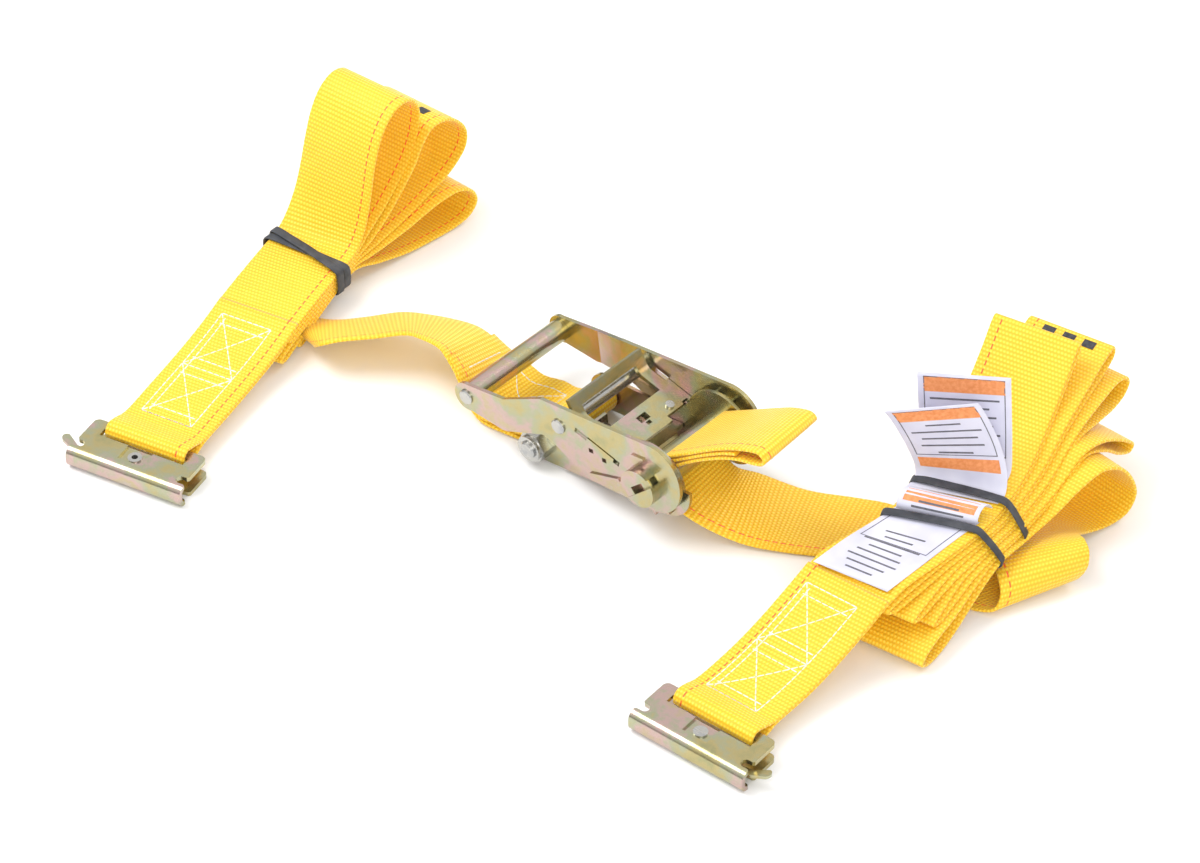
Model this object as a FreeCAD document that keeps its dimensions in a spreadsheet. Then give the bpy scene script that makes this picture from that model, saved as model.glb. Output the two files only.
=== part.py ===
"""Ratchet tie down for 50 mm webbing with two E-track spring fittings.

Frame of the model: millimetres, +Z up, the floor at Z = 0, origin under the middle of the
bounding box.  The ratchet's length runs along +X (grip at -X, spindle at +X), the spindle is
parallel to Y.  The ratchet parts are drawn about the spindle axis and then set down on the
floor, nose up by a few degrees.  The fittings are drawn about the middle of their nose.
"""
import FreeCAD, Part
import math
import os
import Sketcher
from FreeCAD import Placement, Rotation, Vector

DIMENSIONS = {
    # webbing
    "webbing_width": 48.5, "webbing_thick": 2.0, "label_thick": 0.8, "soft_gap": 0.3,
    # ratchet across its width, measured from the middle plane
    "frame_inner": 25.5, "frame_outer": 27.5, "wheel_inner": 27.8, "wheel_outer": 30.2,
    "handle_inner": 30.5, "handle_outer": 32.7, "flare": 5.3,
    # frame
    "bolt_x": -79.4, "bolt_z": -8.7, "frame_end_r": 10.8, "frame_floor": -19.5,
    "frame_web": 2.0, "frame_nose_r": 21.5, "frame_ear_x": 25.5,
    # spindle
    "mandrel_r": 9.0, "head_r": 10.8, "head_face": 39.0, "slot_half": 2.2, "slot_angle": 36.0,
    "wheel_r": 20.6, "wheel_root_r": 17.6, "wheel_teeth": 12, "running": 0.06,
    "mandrel_end": 38.6, "pin_y": 35.9, "pin_r": 1.5, "pin_half": 12.0, "clearance": 0.05,
    # handle
    "grip_x": -118.4, "grip_z": 11.0, "grip_end_r": 8.2, "grip_tube_r": 6.2, "grip_bore_r": 4.6,
    "rod_x": -57.7, "rod_z": 12.9, "rod_r": 4.4, "rivet_r": 3.0, "rivet_head_r": 4.3,
    "rivet_head": 1.3, "handle_top": 25.5,
    # drive pawl, on a line that slopes down to the wheel
    "pawl_tip_x": -17.3, "pawl_tip_z": 4.9, "pawl_slope": 20.4, "pawl_half": 1.2,
    "pawl_back": 3.3, "pawl_front": 1.2, "pawl_slot": 30.6, "loop_half": 28.0,
    "finger_gap": 19.4, "web_front": 12.0, "web_rear": 19.2, "spring_front": 4.8, "spring_rear": 17.6,
    "spring_drop": -5.6, "lug_low": -8.0, "lug_thick": 1.2, "lug_width": 8.0,
    # lock pawl
    "lock_z": -8.5, "lock_tip": -19.8, "lock_tail": -40.0, "lock_travel": 5.0,
    # bolt
    "bolt_r": 5.0, "nut_flats": 16.0, "nut_height": 8.4, "sleeve_r": 7.0,
    # E-track fitting
    "nose_width": 69.6, "ear_width": 67.7, "fitting_height": 12.4, "fitting_depth": 29.4,
    "fitting_plate": 2.5, "slot_front": 18.5, "slot_rear": 23.9, "slot_width": 51.0,
    "notch_front": 5.6, "notch_rear": 10.8, "notch_depth": 6.5, "latch_thick": 1.8,
    "fitting_rivet_y": 12.6, "fitting_rivet_r": 2.6, "fold_r": 4.6, "bar_inner_r": 3.4,
    "latch_low": 5.2, "latch_rise": 3.6, "latch_reach": 45.0, "coil_r": 3.6, "coil_wire": 0.6,
    "coil_low": 3.1, "coil_rise": 1.7,
    # where things lie
    "hub_x": 67.6, "hub_y": -9.3, "hub_z": 31.0, "ratchet_pitch": 8.0,
    "left_x": -155.0, "left_y": -197.5, "left_yaw": 13.5,
    "right_x": 193.5, "right_y": -157.0, "right_yaw": 3.0,
    "shift_x": -10.01, "shift_y": 13.66,
}

doc = FreeCAD.newDocument("ratchet_tie_down")
sheet = doc.addObject("Spreadsheet::Sheet", "Dims")
nodes = []


def fill_sheet():
    """Driving dimensions, one row each: name, number."""
    for row, (name, number) in enumerate(DIMENSIONS.items(), start=1):
        sheet.set("A%d" % row, name)
        sheet.set("B%d" % row, str(number))
        sheet.setAlias("B%d" % row, name)
    doc.recompute()


def dim(name):
    """Number that the sheet holds under this name."""
    return float(sheet.get(name))


# ---------------------------------------------------------------- document helpers

def new_body(label):
    """Body that becomes one node of the model."""
    body = doc.addObject("PartDesign::Body", label)
    body.Label = label
    body.AllowCompound = True
    nodes.append(body)
    return body


def new_feature(label, shape):
    """Node whose shape no sketch-based feature can make."""
    piece = doc.addObject("Part::Feature", label)
    piece.Label = label
    piece.Shape = shape
    nodes.append(piece)
    return piece


def sketch_on(body, plane, lift=None):
    """Sketch on an origin plane; lift is the sheet rule for its height along the plane's normal."""
    sketch = body.newObject("Sketcher::SketchObject", body.Label + "_sketch")
    origin_plane = [f for f in body.Origin.OriginFeatures if f.Role == plane][0]
    sketch.AttachmentSupport = [(origin_plane, "")]
    sketch.MapMode = "FlatFace"
    if lift:
        sketch.setExpression("AttachmentOffset.Base.z", lift)
    return sketch


def outline(sketch, points):
    """Closed outline.  A point is (a, b); ('arc', mid, end) is an arc through mid to end."""
    here = points[0]
    for step in points[1:] + [points[0]]:
        if step[0] == "arc":
            mid, end = Vector(*step[1], 0), Vector(*step[2], 0)
            sketch.addGeometry(Part.Arc(Vector(*here, 0), mid, end), False)
            here = step[2]
        elif math.dist(here, step) > 1e-6:
            sketch.addGeometry(Part.LineSegment(Vector(*here, 0), Vector(*step, 0)), False)
            here = step


def rectangle(sketch, a0, b0, a1, b1):
    """Upright rectangle between two opposite corners."""
    outline(sketch, [(a0, b0), (a1, b0), (a1, b1), (a0, b1)])


def circle(sketch, a, b, radius):
    """Circle at (a, b) whose radius follows a sheet rule."""
    place = Vector(a, b, 0)
    geo = sketch.addGeometry(Part.Circle(place, Vector(0, 0, 1), 1.0), False)
    index = sketch.addConstraint(Sketcher.Constraint("Radius", geo, 1.0))
    sketch.setExpression("Constraints[%d]" % index, radius)


def pad(body, sketch, length, midplane=True):
    """Extrusion whose length follows a sheet rule."""
    feature = body.newObject("PartDesign::Pad", body.Label + "_pad")
    feature.Profile = sketch
    feature.Midplane = midplane
    feature.setExpression("Length", length)
    doc.recompute()
    return feature


def pocket(body, sketch, length, midplane=True):
    """Cut that must remove material; a pocket that cuts nothing stops the build."""
    before = body.Shape.Volume
    feature = body.newObject("PartDesign::Pocket", body.Label + "_pocket")
    feature.Profile = sketch
    feature.Midplane = midplane
    feature.setExpression("Length", length)
    doc.recompute()
    if body.Shape.Volume > before - 0.01:
        raise RuntimeError("pocket of %s cuts nothing" % body.Label)
    return feature


def ratchet_placement():
    """Spindle frame to model frame."""
    base = Vector(dim("hub_x") + dim("shift_x"), dim("hub_y") + dim("shift_y"), dim("hub_z"))
    return Placement(base, Rotation(Vector(0, 1, 0), -dim("ratchet_pitch")))


def fitting_placement(side):
    """Frame of one fitting, from the middle of its nose, to model frame."""
    base = Vector(dim(side + "_x") + dim("shift_x"), dim(side + "_y") + dim("shift_y"), 0)
    return Placement(base, Rotation(Vector(0, 0, 1), dim(side + "_yaw")))


def floor_point(x, y, z):
    """Point of the layout, moved so that the model stands on its origin."""
    return Vector(x + dim("shift_x"), y + dim("shift_y"), z)


def polar(radius, angle):
    """Point on a circle about the sketch origin, angle in degrees."""
    turn = math.radians(angle)
    return radius * math.cos(turn), radius * math.sin(turn)


# ---------------------------------------------------------------- frame

def frame():
    """Channel of two side plates and a floor, round at the bolt and around the spindle."""
    body = new_body("frame")
    bolt_x, bolt_z, end_r = dim("bolt_x"), dim("bolt_z"), dim("frame_end_r")
    floor, ear_x, nose_r = dim("frame_floor"), dim("frame_ear_x"), dim("frame_nose_r")
    sides = sketch_on(body, "XZ_Plane")
    outline(sides, [
        (bolt_x, floor), (8.0, floor), ("arc", (20.8, -13.2), (ear_x, 0.0)), (nose_r, 0.0),
        ("arc", polar(nose_r, 80.0), polar(nose_r, 160.0)), (-31.0, -1.5),
        (bolt_x, bolt_z + end_r), ("arc", (bolt_x - end_r, bolt_z), (bolt_x, floor))])
    pad(body, sides, "2 * Dims.frame_outer")
    gap = sketch_on(body, "XZ_Plane")
    web_top = floor + dim("frame_web")
    outline(gap, [(-95.0, -25.0), (-64.0, -25.0), (-64.0, web_top), (-27.0, web_top),
                  (-27.0, -25.0), (32.0, -25.0), (32.0, 30.0), (-95.0, 30.0)])
    pocket(body, gap, "2 * Dims.frame_inner")
    holes = sketch_on(body, "XZ_Plane")
    circle(holes, bolt_x, bolt_z, "Dims.bolt_r + 0.1")
    circle(holes, 0.0, 0.0, "Dims.mandrel_r + Dims.running")
    pocket(body, holes, "2 * Dims.frame_outer + 2")
    slots = sketch_on(body, "XZ_Plane")
    slot_low = dim("lock_z") - dim("pawl_half") - 0.3
    slot_high = dim("lock_z") + dim("pawl_half") + 0.3
    rectangle(slots, dim("lock_tail") - dim("lock_travel") - 0.4, slot_low, -24.6, slot_high)
    pocket(body, slots, "2 * Dims.frame_outer + 2")
    window = sketch_on(body, "XY_Plane", "Dims.frame_floor")
    rectangle(window, -56.0, -13.0, -36.0, 13.0)
    pocket(body, window, "6")
    lug = sketch_on(body, "XZ_Plane")
    rectangle(lug, -63.8, floor, -61.8, dim("lock_z") + 4.0)
    pad(body, lug, "14")
    return body


def hexagon(sketch, a, b, flats):
    """Regular hexagon about (a, b), flats being its width across flats."""
    corners = [polar(flats / math.sqrt(3.0), 60.0 * k) for k in range(6)]
    outline(sketch, [(a + u, b + v) for u, v in corners])


def anchor_bolt():
    """Hex bolt across the frame's end; head on the far side."""
    body = new_body("anchor_bolt")
    shank = sketch_on(body, "XZ_Plane", "-Dims.frame_outer - 1")
    circle(shank, dim("bolt_x"), dim("bolt_z"), "Dims.bolt_r")
    pad(body, shank, "2 * Dims.frame_outer + Dims.nut_height + 3", False)
    head = sketch_on(body, "XZ_Plane", "-Dims.frame_outer - 6.4")
    hexagon(head, dim("bolt_x"), dim("bolt_z"), dim("nut_flats"))
    pad(body, head, "6.4 - 0.05", False)
    end_y = -dim("frame_outer") - dim("nut_height") - 2.0
    dress_edges(body, "Chamfer", 0.8, lambda e: abs(e.CenterOfMass.y - end_y) < 0.01)
    return body


def dress_edges(body, kind, size, wanted):
    """Chamfer or Fillet on every edge of the tip that the rule picks."""
    base = body.Tip
    names = ["Edge%d" % (i + 1) for i, e in enumerate(base.Shape.Edges) if wanted(e)]
    if not names:
        raise RuntimeError("no edge to dress on " + body.Label)
    feature = body.newObject("PartDesign::" + kind, body.Label + "_" + kind.lower())
    feature.Base = (base, names)
    setattr(feature, "Size" if kind == "Chamfer" else "Radius", size)
    doc.recompute()
    return feature


def anchor_nut():
    """Lock nut: hexagon below, round collar for the insert on top."""
    body = new_body("anchor_nut")
    flats = sketch_on(body, "XZ_Plane", "Dims.frame_outer + 0.05")
    hexagon(flats, dim("bolt_x"), dim("bolt_z"), dim("nut_flats"))
    pad(body, flats, "Dims.nut_height - 2.2", False)
    collar = sketch_on(body, "XZ_Plane", "Dims.frame_outer + 0.05 + Dims.nut_height - 2.2")
    circle(collar, dim("bolt_x"), dim("bolt_z"), "0.46 * Dims.nut_flats")
    pad(body, collar, "2.2", False)
    bore = sketch_on(body, "XZ_Plane")
    circle(bore, dim("bolt_x"), dim("bolt_z"), "Dims.bolt_r + 0.05")
    pocket(body, bore, "120")
    return body


def anchor_sleeve():
    """Spacer tube on the bolt, inside the webbing eye."""
    body = new_body("anchor_sleeve")
    wall = sketch_on(body, "XZ_Plane")
    circle(wall, dim("bolt_x"), dim("bolt_z"), "Dims.sleeve_r")
    circle(wall, dim("bolt_x"), dim("bolt_z"), "Dims.bolt_r + 0.08")
    pad(body, wall, "2 * Dims.frame_inner - 0.2")
    return body


def lock_pawl():
    """Sliding plate in the frame's slots; its two prongs hold the wheels."""
    body = new_body("lock_pawl")
    tail, tip, reach = dim("lock_tail"), dim("lock_tip"), dim("wheel_outer")
    neck, prong = dim("wheel_inner"), -25.2
    plate = sketch_on(body, "XY_Plane", "Dims.lock_z - Dims.pawl_half")
    outline(plate, [
        (tail, -reach), (tip, -reach), (tip, -neck), (prong, -neck), (prong, -20.0),
        (prong + 3.0, -17.0), (prong + 3.0, 17.0), (prong, 20.0), (prong, neck), (tip, neck),
        (tip, reach), (tail, reach)])
    pad(body, plate, "2 * Dims.pawl_half", False)
    return body


def coil_spring(label, start, end, radius, wire, turns):
    """Round-wire coil from one point to another, in the spindle frame."""
    axis = end - start
    pitch = (axis.Length - wire) / turns
    helix = Part.makeHelix(pitch, axis.Length - wire, radius)
    circle_edge = Part.makeCircle(wire / 2.0, Vector(radius, 0, 0), Vector(0, 1, 0))
    coil = Part.Wire(helix.Edges).makePipeShell([Part.Wire(circle_edge)], True, True)
    piece = new_feature(label, coil)
    turn = Placement(start + axis * (wire / 2.0 / axis.Length), Rotation(Vector(0, 0, 1), axis))
    piece.Placement = ratchet_placement().multiply(turn)
    return piece


# ---------------------------------------------------------------- spindle

def tilt(u, v):
    """Point at u along the spindle's slot and v square to it."""
    turn = math.radians(dim("slot_angle"))
    return u * math.cos(turn) - v * math.sin(turn), u * math.sin(turn) + v * math.cos(turn)


def cross_cylinder(name, radius, half):
    """Cylinder through the spindle at the pin's place, square to the slot."""
    turn = math.radians(dim("slot_angle"))
    axis = Vector(-math.sin(turn), 0, math.cos(turn))
    bar = doc.addObject("Part::Cylinder", name)
    bar.setExpression("Radius", radius)
    bar.Height = 2.0 * half
    foot = Vector(0, dim("pin_y"), 0) - axis * half
    bar.Placement = Placement(foot, Rotation(Vector(0, 0, 1), axis))
    return bar


def half_moon(radius, side):
    """Outline of a half-round bar beside the slot; side is +1 or -1."""
    gap = dim("slot_half")
    reach = math.sqrt(radius * radius - gap * gap)
    first, last = tilt(-reach, side * gap), tilt(reach, side * gap)
    return [first, last, ("arc", tilt(0, side * radius), first)]


def mandrel(label, side):
    """One half of the spindle, with its D head on the near side."""
    body = new_body(label)
    bar = sketch_on(body, "XZ_Plane", "-Dims.mandrel_end")
    outline(bar, half_moon(dim("mandrel_r"), side))
    pad(body, bar, "Dims.mandrel_end + Dims.handle_inner", False)
    head = sketch_on(body, "XZ_Plane", "Dims.handle_inner")
    outline(head, half_moon(dim("head_r"), side))
    pad(body, head, "Dims.head_face - Dims.handle_inner", False)
    pin_hole = cross_cylinder(label + "_pin_hole", "Dims.pin_r + Dims.clearance", dim("pin_half") + 1.0)
    cut = doc.addObject("Part::Cut", label + "_drilled")
    cut.Base = body
    cut.Tool = pin_hole
    nodes.remove(body)
    body.Label = label + "_bar"
    cut.Label = label
    nodes.append(cut)
    doc.recompute()
    return cut


def ratchet_wheel(label, near):
    """Toothed wheel keyed on both mandrels by two D holes."""
    body = new_body(label)
    lift = "Dims.wheel_inner" if near else "-Dims.wheel_outer"
    rim = sketch_on(body, "XZ_Plane", lift)
    teeth, tip_r, root_r = int(dim("wheel_teeth")), dim("wheel_r"), dim("wheel_root_r")
    step = 360.0 / teeth
    first_gap = 160.0
    tooth = ((root_r, 0.0), (root_r, 0.36), (root_r, 0.73), (tip_r, 0.81), (tip_r, 0.92))
    points = [polar(radius, first_gap + (k + share) * step) for k in range(teeth) for radius, share in tooth]
    outline(rim, points)
    pad(body, rim, "Dims.wheel_outer - Dims.wheel_inner", False)
    for side in (1, -1):
        hole = sketch_on(body, "XZ_Plane")
        outline(hole, half_moon(dim("mandrel_r") + dim("clearance"), side))
        pocket(body, hole, "90")
    return body


def spindle_key():
    """Flat key that keeps the two heads apart, with a peep hole between them."""
    body = new_body("spindle_key")
    half = dim("slot_half") - dim("clearance")
    back, gap, front, nose = -9.6, -4.0, 1.4, 7.6
    bar = sketch_on(body, "XZ_Plane", "Dims.handle_inner + 0.2")
    outline(bar, [tilt(back, -half), tilt(gap, -half), tilt(gap, half), tilt(back, half)])
    pad(body, bar, "Dims.head_face - Dims.handle_inner - 0.5", False)
    block = sketch_on(body, "XZ_Plane", "Dims.handle_inner + 0.2")
    outline(block, [tilt(front, -half), tilt(nose, -half), tilt(nose, half), tilt(front, half)])
    pad(body, block, "Dims.head_face - Dims.handle_inner - 3.4", False)
    link = sketch_on(body, "XZ_Plane", "Dims.handle_inner + 0.2")
    outline(link, [tilt(back, -half), tilt(nose, -half), tilt(nose, half), tilt(back, half)])
    pad(body, link, "1.5", False)
    return body


def spindle_washer():
    """Thin washer between the far handle plate and the cross pin."""
    body = new_body("spindle_washer")
    ring = sketch_on(body, "XZ_Plane", "-Dims.handle_outer - 1.5")
    circle(ring, 0.0, 0.0, "Dims.mandrel_r + 4")
    circle(ring, 0.0, 0.0, "Dims.mandrel_r + 0.1")
    pad(body, ring, "1.2", False)
    return body


def spindle_pin():
    """Cross pin through both mandrels outside the far handle plate, ends bent over a little."""
    pin = cross_cylinder("spindle_pin", "Dims.pin_r", dim("pin_half"))
    pin.Label = "spindle_pin"
    nodes.append(pin)
    return pin


# ---------------------------------------------------------------- handle

def on_slope(s, n):
    """Point of the side view at s along the pawl's line from its tip, n above it."""
    slope = math.radians(dim("pawl_slope"))
    return (dim("pawl_tip_x") - s * math.cos(slope) + n * math.sin(slope),
            dim("pawl_tip_z") + s * math.sin(slope) + n * math.cos(slope))


def sloped_box(body, s0, n0, s1, n1):
    """Side-view rectangle laid along the pawl's line."""
    sketch = sketch_on(body, "XZ_Plane")
    outline(sketch, [on_slope(s0, n0), on_slope(s1, n0), on_slope(s1, n1), on_slope(s0, n1)])
    return sketch


def handle():
    """Stamping: two side plates, flared at the grip, joined by a sloped web under the pawl."""
    body = new_body("handle")
    inner, outer, flare = dim("handle_inner"), dim("handle_outer"), dim("flare")
    bend_in, bend_out = -70.0, -91.0
    for side in (-1, 1):
        wall = sketch_on(body, "XY_Plane", "-30")
        outline(wall, [(30.0, side * inner), (30.0, side * outer), (bend_in, side * outer),
                       (bend_out, side * (outer + flare)), (-130.0, side * (outer + flare)),
                       (-130.0, side * (inner + flare)), (bend_out, side * (inner + flare)),
                       (bend_in, side * inner)])
        pad(body, wall, "70", False)
    web = sloped_box(body, dim("web_front"), -3.7, dim("web_rear"), -1.5)
    pad(body, web, "2 * Dims.handle_inner + 1")
    top, grip_x, grip_z, grip_r = dim("handle_top"), dim("grip_x"), dim("grip_z"), dim("grip_end_r")
    trim = sketch_on(body, "XZ_Plane")
    rectangle(trim, -140.0, -40.0, 40.0, 50.0)
    outline(trim, [
        (bend_in + 1.0, top), (6.0, top), ("arc", (19.0, 19.5), (24.2, 6.0)),
        ("arc", (19.5, -8.0), (5.0, -15.8)), (-38.0, -13.8), (-48.0, -10.0), (-62.0, -0.5),
        (bend_in, 2.6), (bend_out - 3.0, -0.8), (grip_x + 2.5, grip_z - grip_r + 0.2),
        ("arc", (grip_x - grip_r, grip_z), (grip_x + 1.5, grip_z + grip_r - 0.2)),
        (bend_out, top - 5.6)])
    pocket(body, trim, "90")
    near_hub = sketch_on(body, "XZ_Plane", "Dims.handle_inner - 1")
    circle(near_hub, 0.0, 0.0, "Dims.head_r + Dims.running")
    cut_side(body, near_hub, "6", True)
    far_hub = sketch_on(body, "XZ_Plane", "-Dims.handle_inner + 1")
    circle(far_hub, 0.0, 0.0, "Dims.mandrel_r + Dims.running")
    cut_side(body, far_hub, "6", False)
    rivets = sketch_on(body, "XZ_Plane")
    circle(rivets, grip_x, grip_z, "Dims.rivet_r + Dims.running")
    circle(rivets, dim("rod_x"), dim("rod_z"), "Dims.rivet_r + Dims.running")
    pocket(body, rivets, "100")
    slot = sloped_box(body, -0.4, -dim("pawl_half") - 0.35, dim("pawl_slot"), dim("pawl_half") + 0.35)
    rectangle(slot, -37.6, 4.6, -34.6, 7.2)
    rectangle(slot, -28.9, 1.9, -25.9, 4.5)
    pocket(body, slot, "100")
    lug = sloped_box(body, dim("spring_rear") + 0.2, dim("lug_low"), dim("web_rear"), -1.6)
    pad(body, lug, "Dims.lug_width + 1")
    window = sloped_box(body, 11.0, -10.0, dim("spring_rear"), 0.0)
    pocket(body, window, "7")
    for lift, away in (("Dims.handle_outer - 0.2", False), ("-Dims.handle_outer + 0.2", True)):
        rib = sketch_on(body, "XZ_Plane", lift)
        outline(rib, [(-37.5, -10.4), (-18.5, -6.4), ("arc", (-17.2, -5.1), (-18.9, -4.3)),
                      (-37.9, -8.3), ("arc", (-38.8, -9.6), (-37.5, -10.4))])
        rectangle(rib, -6.5, 14.0, 1.5, 16.2)
        raised = pad(body, rib, "1.3", False)
        raised.Reversed = away
    doc.recompute()
    return body


def cut_side(body, sketch, length, near):
    """Pocket through one side plate only; a pocket runs against the sketch's normal."""
    feature = pocket_quiet(body, sketch, length)
    feature.Reversed = near
    doc.recompute()
    return feature


def pocket_quiet(body, sketch, length):
    """Pocket whose direction is set before it is computed."""
    feature = body.newObject("PartDesign::Pocket", body.Label + "_pocket")
    feature.Profile = sketch
    feature.setExpression("Length", length)
    return feature


def riveted_rod(label, x, z, radius, half, plate_outer):
    """Rod between the handle plates with a shank and a formed head at each end."""
    body = new_body(label)
    rod = sketch_on(body, "XZ_Plane")
    circle(rod, x, z, radius)
    pad(body, rod, "2 * (%s) - 0.1" % half)
    shank = sketch_on(body, "XZ_Plane")
    circle(shank, x, z, "Dims.rivet_r")
    pad(body, shank, "2 * (%s) + 0.2" % plate_outer)
    for sign, flip in (("", False), ("-", True)):
        head = sketch_on(body, "XZ_Plane", "%s(%s + 0.06)" % (sign, plate_outer))
        circle(head, x, z, "Dims.rivet_head_r")
        feature = pad(body, head, "Dims.rivet_head", False)
        feature.Reversed = flip
    doc.recompute()
    end_y = body.Shape.BoundBox.YMax
    dress_edges(body, "Chamfer", 0.6, lambda e: abs(abs(e.CenterOfMass.y) - end_y) < 0.01)
    return body


def grip_tube():
    """Tube between the flared plates, turned over the grip rod."""
    body = new_body("grip_tube")
    wall = sketch_on(body, "XZ_Plane")
    circle(wall, dim("grip_x"), dim("grip_z"), "Dims.grip_tube_r")
    circle(wall, dim("grip_x"), dim("grip_z"), "Dims.grip_bore_r")
    pad(body, wall, "2 * (Dims.handle_inner + Dims.flare) - 0.2")
    return body


def drive_pawl():
    """Sliding plate with ears in the handle's slots and a bent-up finger loop."""
    body = new_body("drive_pawl")
    half, loop = dim("pawl_half"), dim("loop_half")
    plate = sloped_box(body, 6.6, -half, 33.6, half)
    pad(body, plate, "2 * Dims.loop_half")
    prongs = sloped_box(body, dim("pawl_back"), -half, 22.0, half)
    pad(body, prongs, "2 * (Dims.handle_outer + 0.5)")
    bend = sketch_on(body, "XZ_Plane")
    low, knee, top = on_slope(32.6, -half), on_slope(36.2, 0.2), (-53.9, 27.6)
    outline(bend, [low, ("arc", on_slope(35.4, -0.5), (knee[0] - 0.6, knee[1] + 1.6)),
                   (top[0] - 1.1, top[1] - 0.3), (top[0] + 1.1, top[1] + 0.3),
                   (knee[0] + 1.8, knee[1] + 2.4), ("arc", on_slope(34.0, 1.9), on_slope(32.6, half))])
    pad(body, bend, "2 * Dims.loop_half")
    centre = sloped_box(body, -3.0, -6.0, 6.6, 6.0)
    pocket(body, centre, "2 * Dims.wheel_inner - 0.3")
    window = sketch_on(body, "XZ_Plane")
    gap = dim("finger_gap")
    outline(window, [on_slope(gap, -8.0), (-70.0, 5.0), (-56.0, 22.4), (-50.0, 22.4), on_slope(gap, 4.0)])
    pocket(body, window, "42")
    tongue = sloped_box(body, dim("pawl_front"), -half, 7.0, half)
    pad(body, tongue, "2 * Dims.frame_inner - 4")
    step = sketch_on(body, "XZ_Plane", "-Dims.frame_inner - 1")
    outline(step, [on_slope(0.0, -3.0), on_slope(5.0, -3.0), on_slope(5.0, 3.0), on_slope(0.0, 3.0)])
    cut_side(body, step, "16", True)
    slot = sloped_box(body, 10.2, -3.0, 14.6, 3.0)
    pocket(body, slot, "7")
    seat = sloped_box(body, 7.2, -3.0, 9.4, 3.0)
    pocket(body, seat, "3")
    front = dim("spring_front")
    lug = sloped_box(body, front - dim("lug_thick"), dim("lug_low"), front, 0.5)
    pad(body, lug, "Dims.lug_width")
    return body


def pawl_rivet():
    """Small round rivet that holds the pawl's spring tongue."""
    body = new_body("pawl_rivet")
    head = sketch_on(body, "XY_Plane")
    circle(head, 0.0, 0.0, "2.4")
    pad(body, head, "1.2", False)
    slope = math.radians(dim("pawl_slope"))
    x, z = on_slope(9.0, dim("pawl_half") + 0.02)
    seat = Placement(Vector(x, 17.0, z), Rotation(Vector(0, 1, 0), math.degrees(slope)))
    body.Placement = ratchet_placement().multiply(seat)
    return body


# ---------------------------------------------------------------- E-track fitting

def fitting_body(side):
    """Folded plate: nose, top plate with the webbing slot, bottom plate; notches at both ends."""
    body = new_body("fitting_%s_body" % side)
    high, deep, plate = dim("fitting_height"), dim("fitting_depth"), dim("fitting_plate")
    nose, ears, outer = dim("nose_width") / 2, dim("ear_width") / 2, dim("fold_r")
    inner, diagonal = outer - plate, math.sqrt(0.5)
    out_mid, in_mid = outer - outer * diagonal, outer - inner * diagonal
    fold = sketch_on(body, "YZ_Plane")
    outline(fold, [
        (deep, high), (outer, high), ("arc", (out_mid, high - out_mid), (0.0, high - outer)),
        (0.0, outer), ("arc", (out_mid, out_mid), (outer, 0.0)), (deep, 0.0),
        (deep, plate), (outer, plate), ("arc", (in_mid, in_mid), (plate, outer)),
        (plate, high - outer), ("arc", (in_mid, high - in_mid), (outer, high - plate)),
        (deep, high - plate)])
    pad(body, fold, "Dims.nose_width")
    front, rear, cut = dim("notch_front"), dim("notch_rear"), dim("notch_depth")
    reach = nose - cut
    plan = sketch_on(body, "XY_Plane")
    rectangle(plan, -60.0, -20.0, 60.0, 60.0)
    right = [(nose, front - 0.8), (nose - 1.0, front), (reach + 2.4, front),
             ("arc", (reach, front + 2.6), (reach + 2.4, rear)), (ears - 1.0, rear), (ears, rear + 1.0),
             (ears, deep - 3.2), ("arc", (ears - 0.94, deep - 0.94), (ears - 3.2, deep))]
    left = [(-ears + 3.2, deep), ("arc", (-ears + 0.94, deep - 0.94), (-ears, deep - 3.2)),
            (-ears, rear + 1.0), (-ears + 1.0, rear), (-reach - 2.4, rear),
            ("arc", (-reach, front + 2.6), (-reach - 2.4, front)), (-nose + 1.0, front),
            (-nose, front - 0.8), (-nose, -1.0)]
    outline(plan, [(nose, -1.0)] + right + left)
    pocket(body, plan, "60")
    slot = sketch_on(body, "XY_Plane", "Dims.fitting_height / 2")
    rectangle(slot, -dim("slot_width") / 2, dim("slot_front"), dim("slot_width") / 2, dim("slot_rear"))
    cut_side(body, slot, "10", True)
    open_floor = sketch_on(body, "XY_Plane", "Dims.fitting_height / 2")
    rectangle(open_floor, -dim("slot_width") / 2, dim("slot_front"), dim("slot_width") / 2, deep + 5.0)
    cut_side(body, open_floor, "10", False)
    seat = sketch_on(body, "XY_Plane", "Dims.fitting_height")
    rectangle(seat, -7.5, 7.6, 7.5, dim("slot_front") + 0.5)
    cut_side(body, seat, "1.4", False)
    bulge = sketch_on(body, "XY_Plane", "Dims.fitting_height - Dims.fitting_plate + 0.1")
    rectangle(bulge, -9.0, 6.6, 9.0, dim("slot_front"))
    pad(body, bulge, "1.4", False).Reversed = True
    doc.recompute()
    hole = sketch_on(body, "XY_Plane")
    circle(hole, 0.0, dim("fitting_rivet_y"), "Dims.fitting_rivet_r + 0.05")
    pocket(body, hole, "60")
    body.Placement = fitting_placement(side)
    return body


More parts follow.
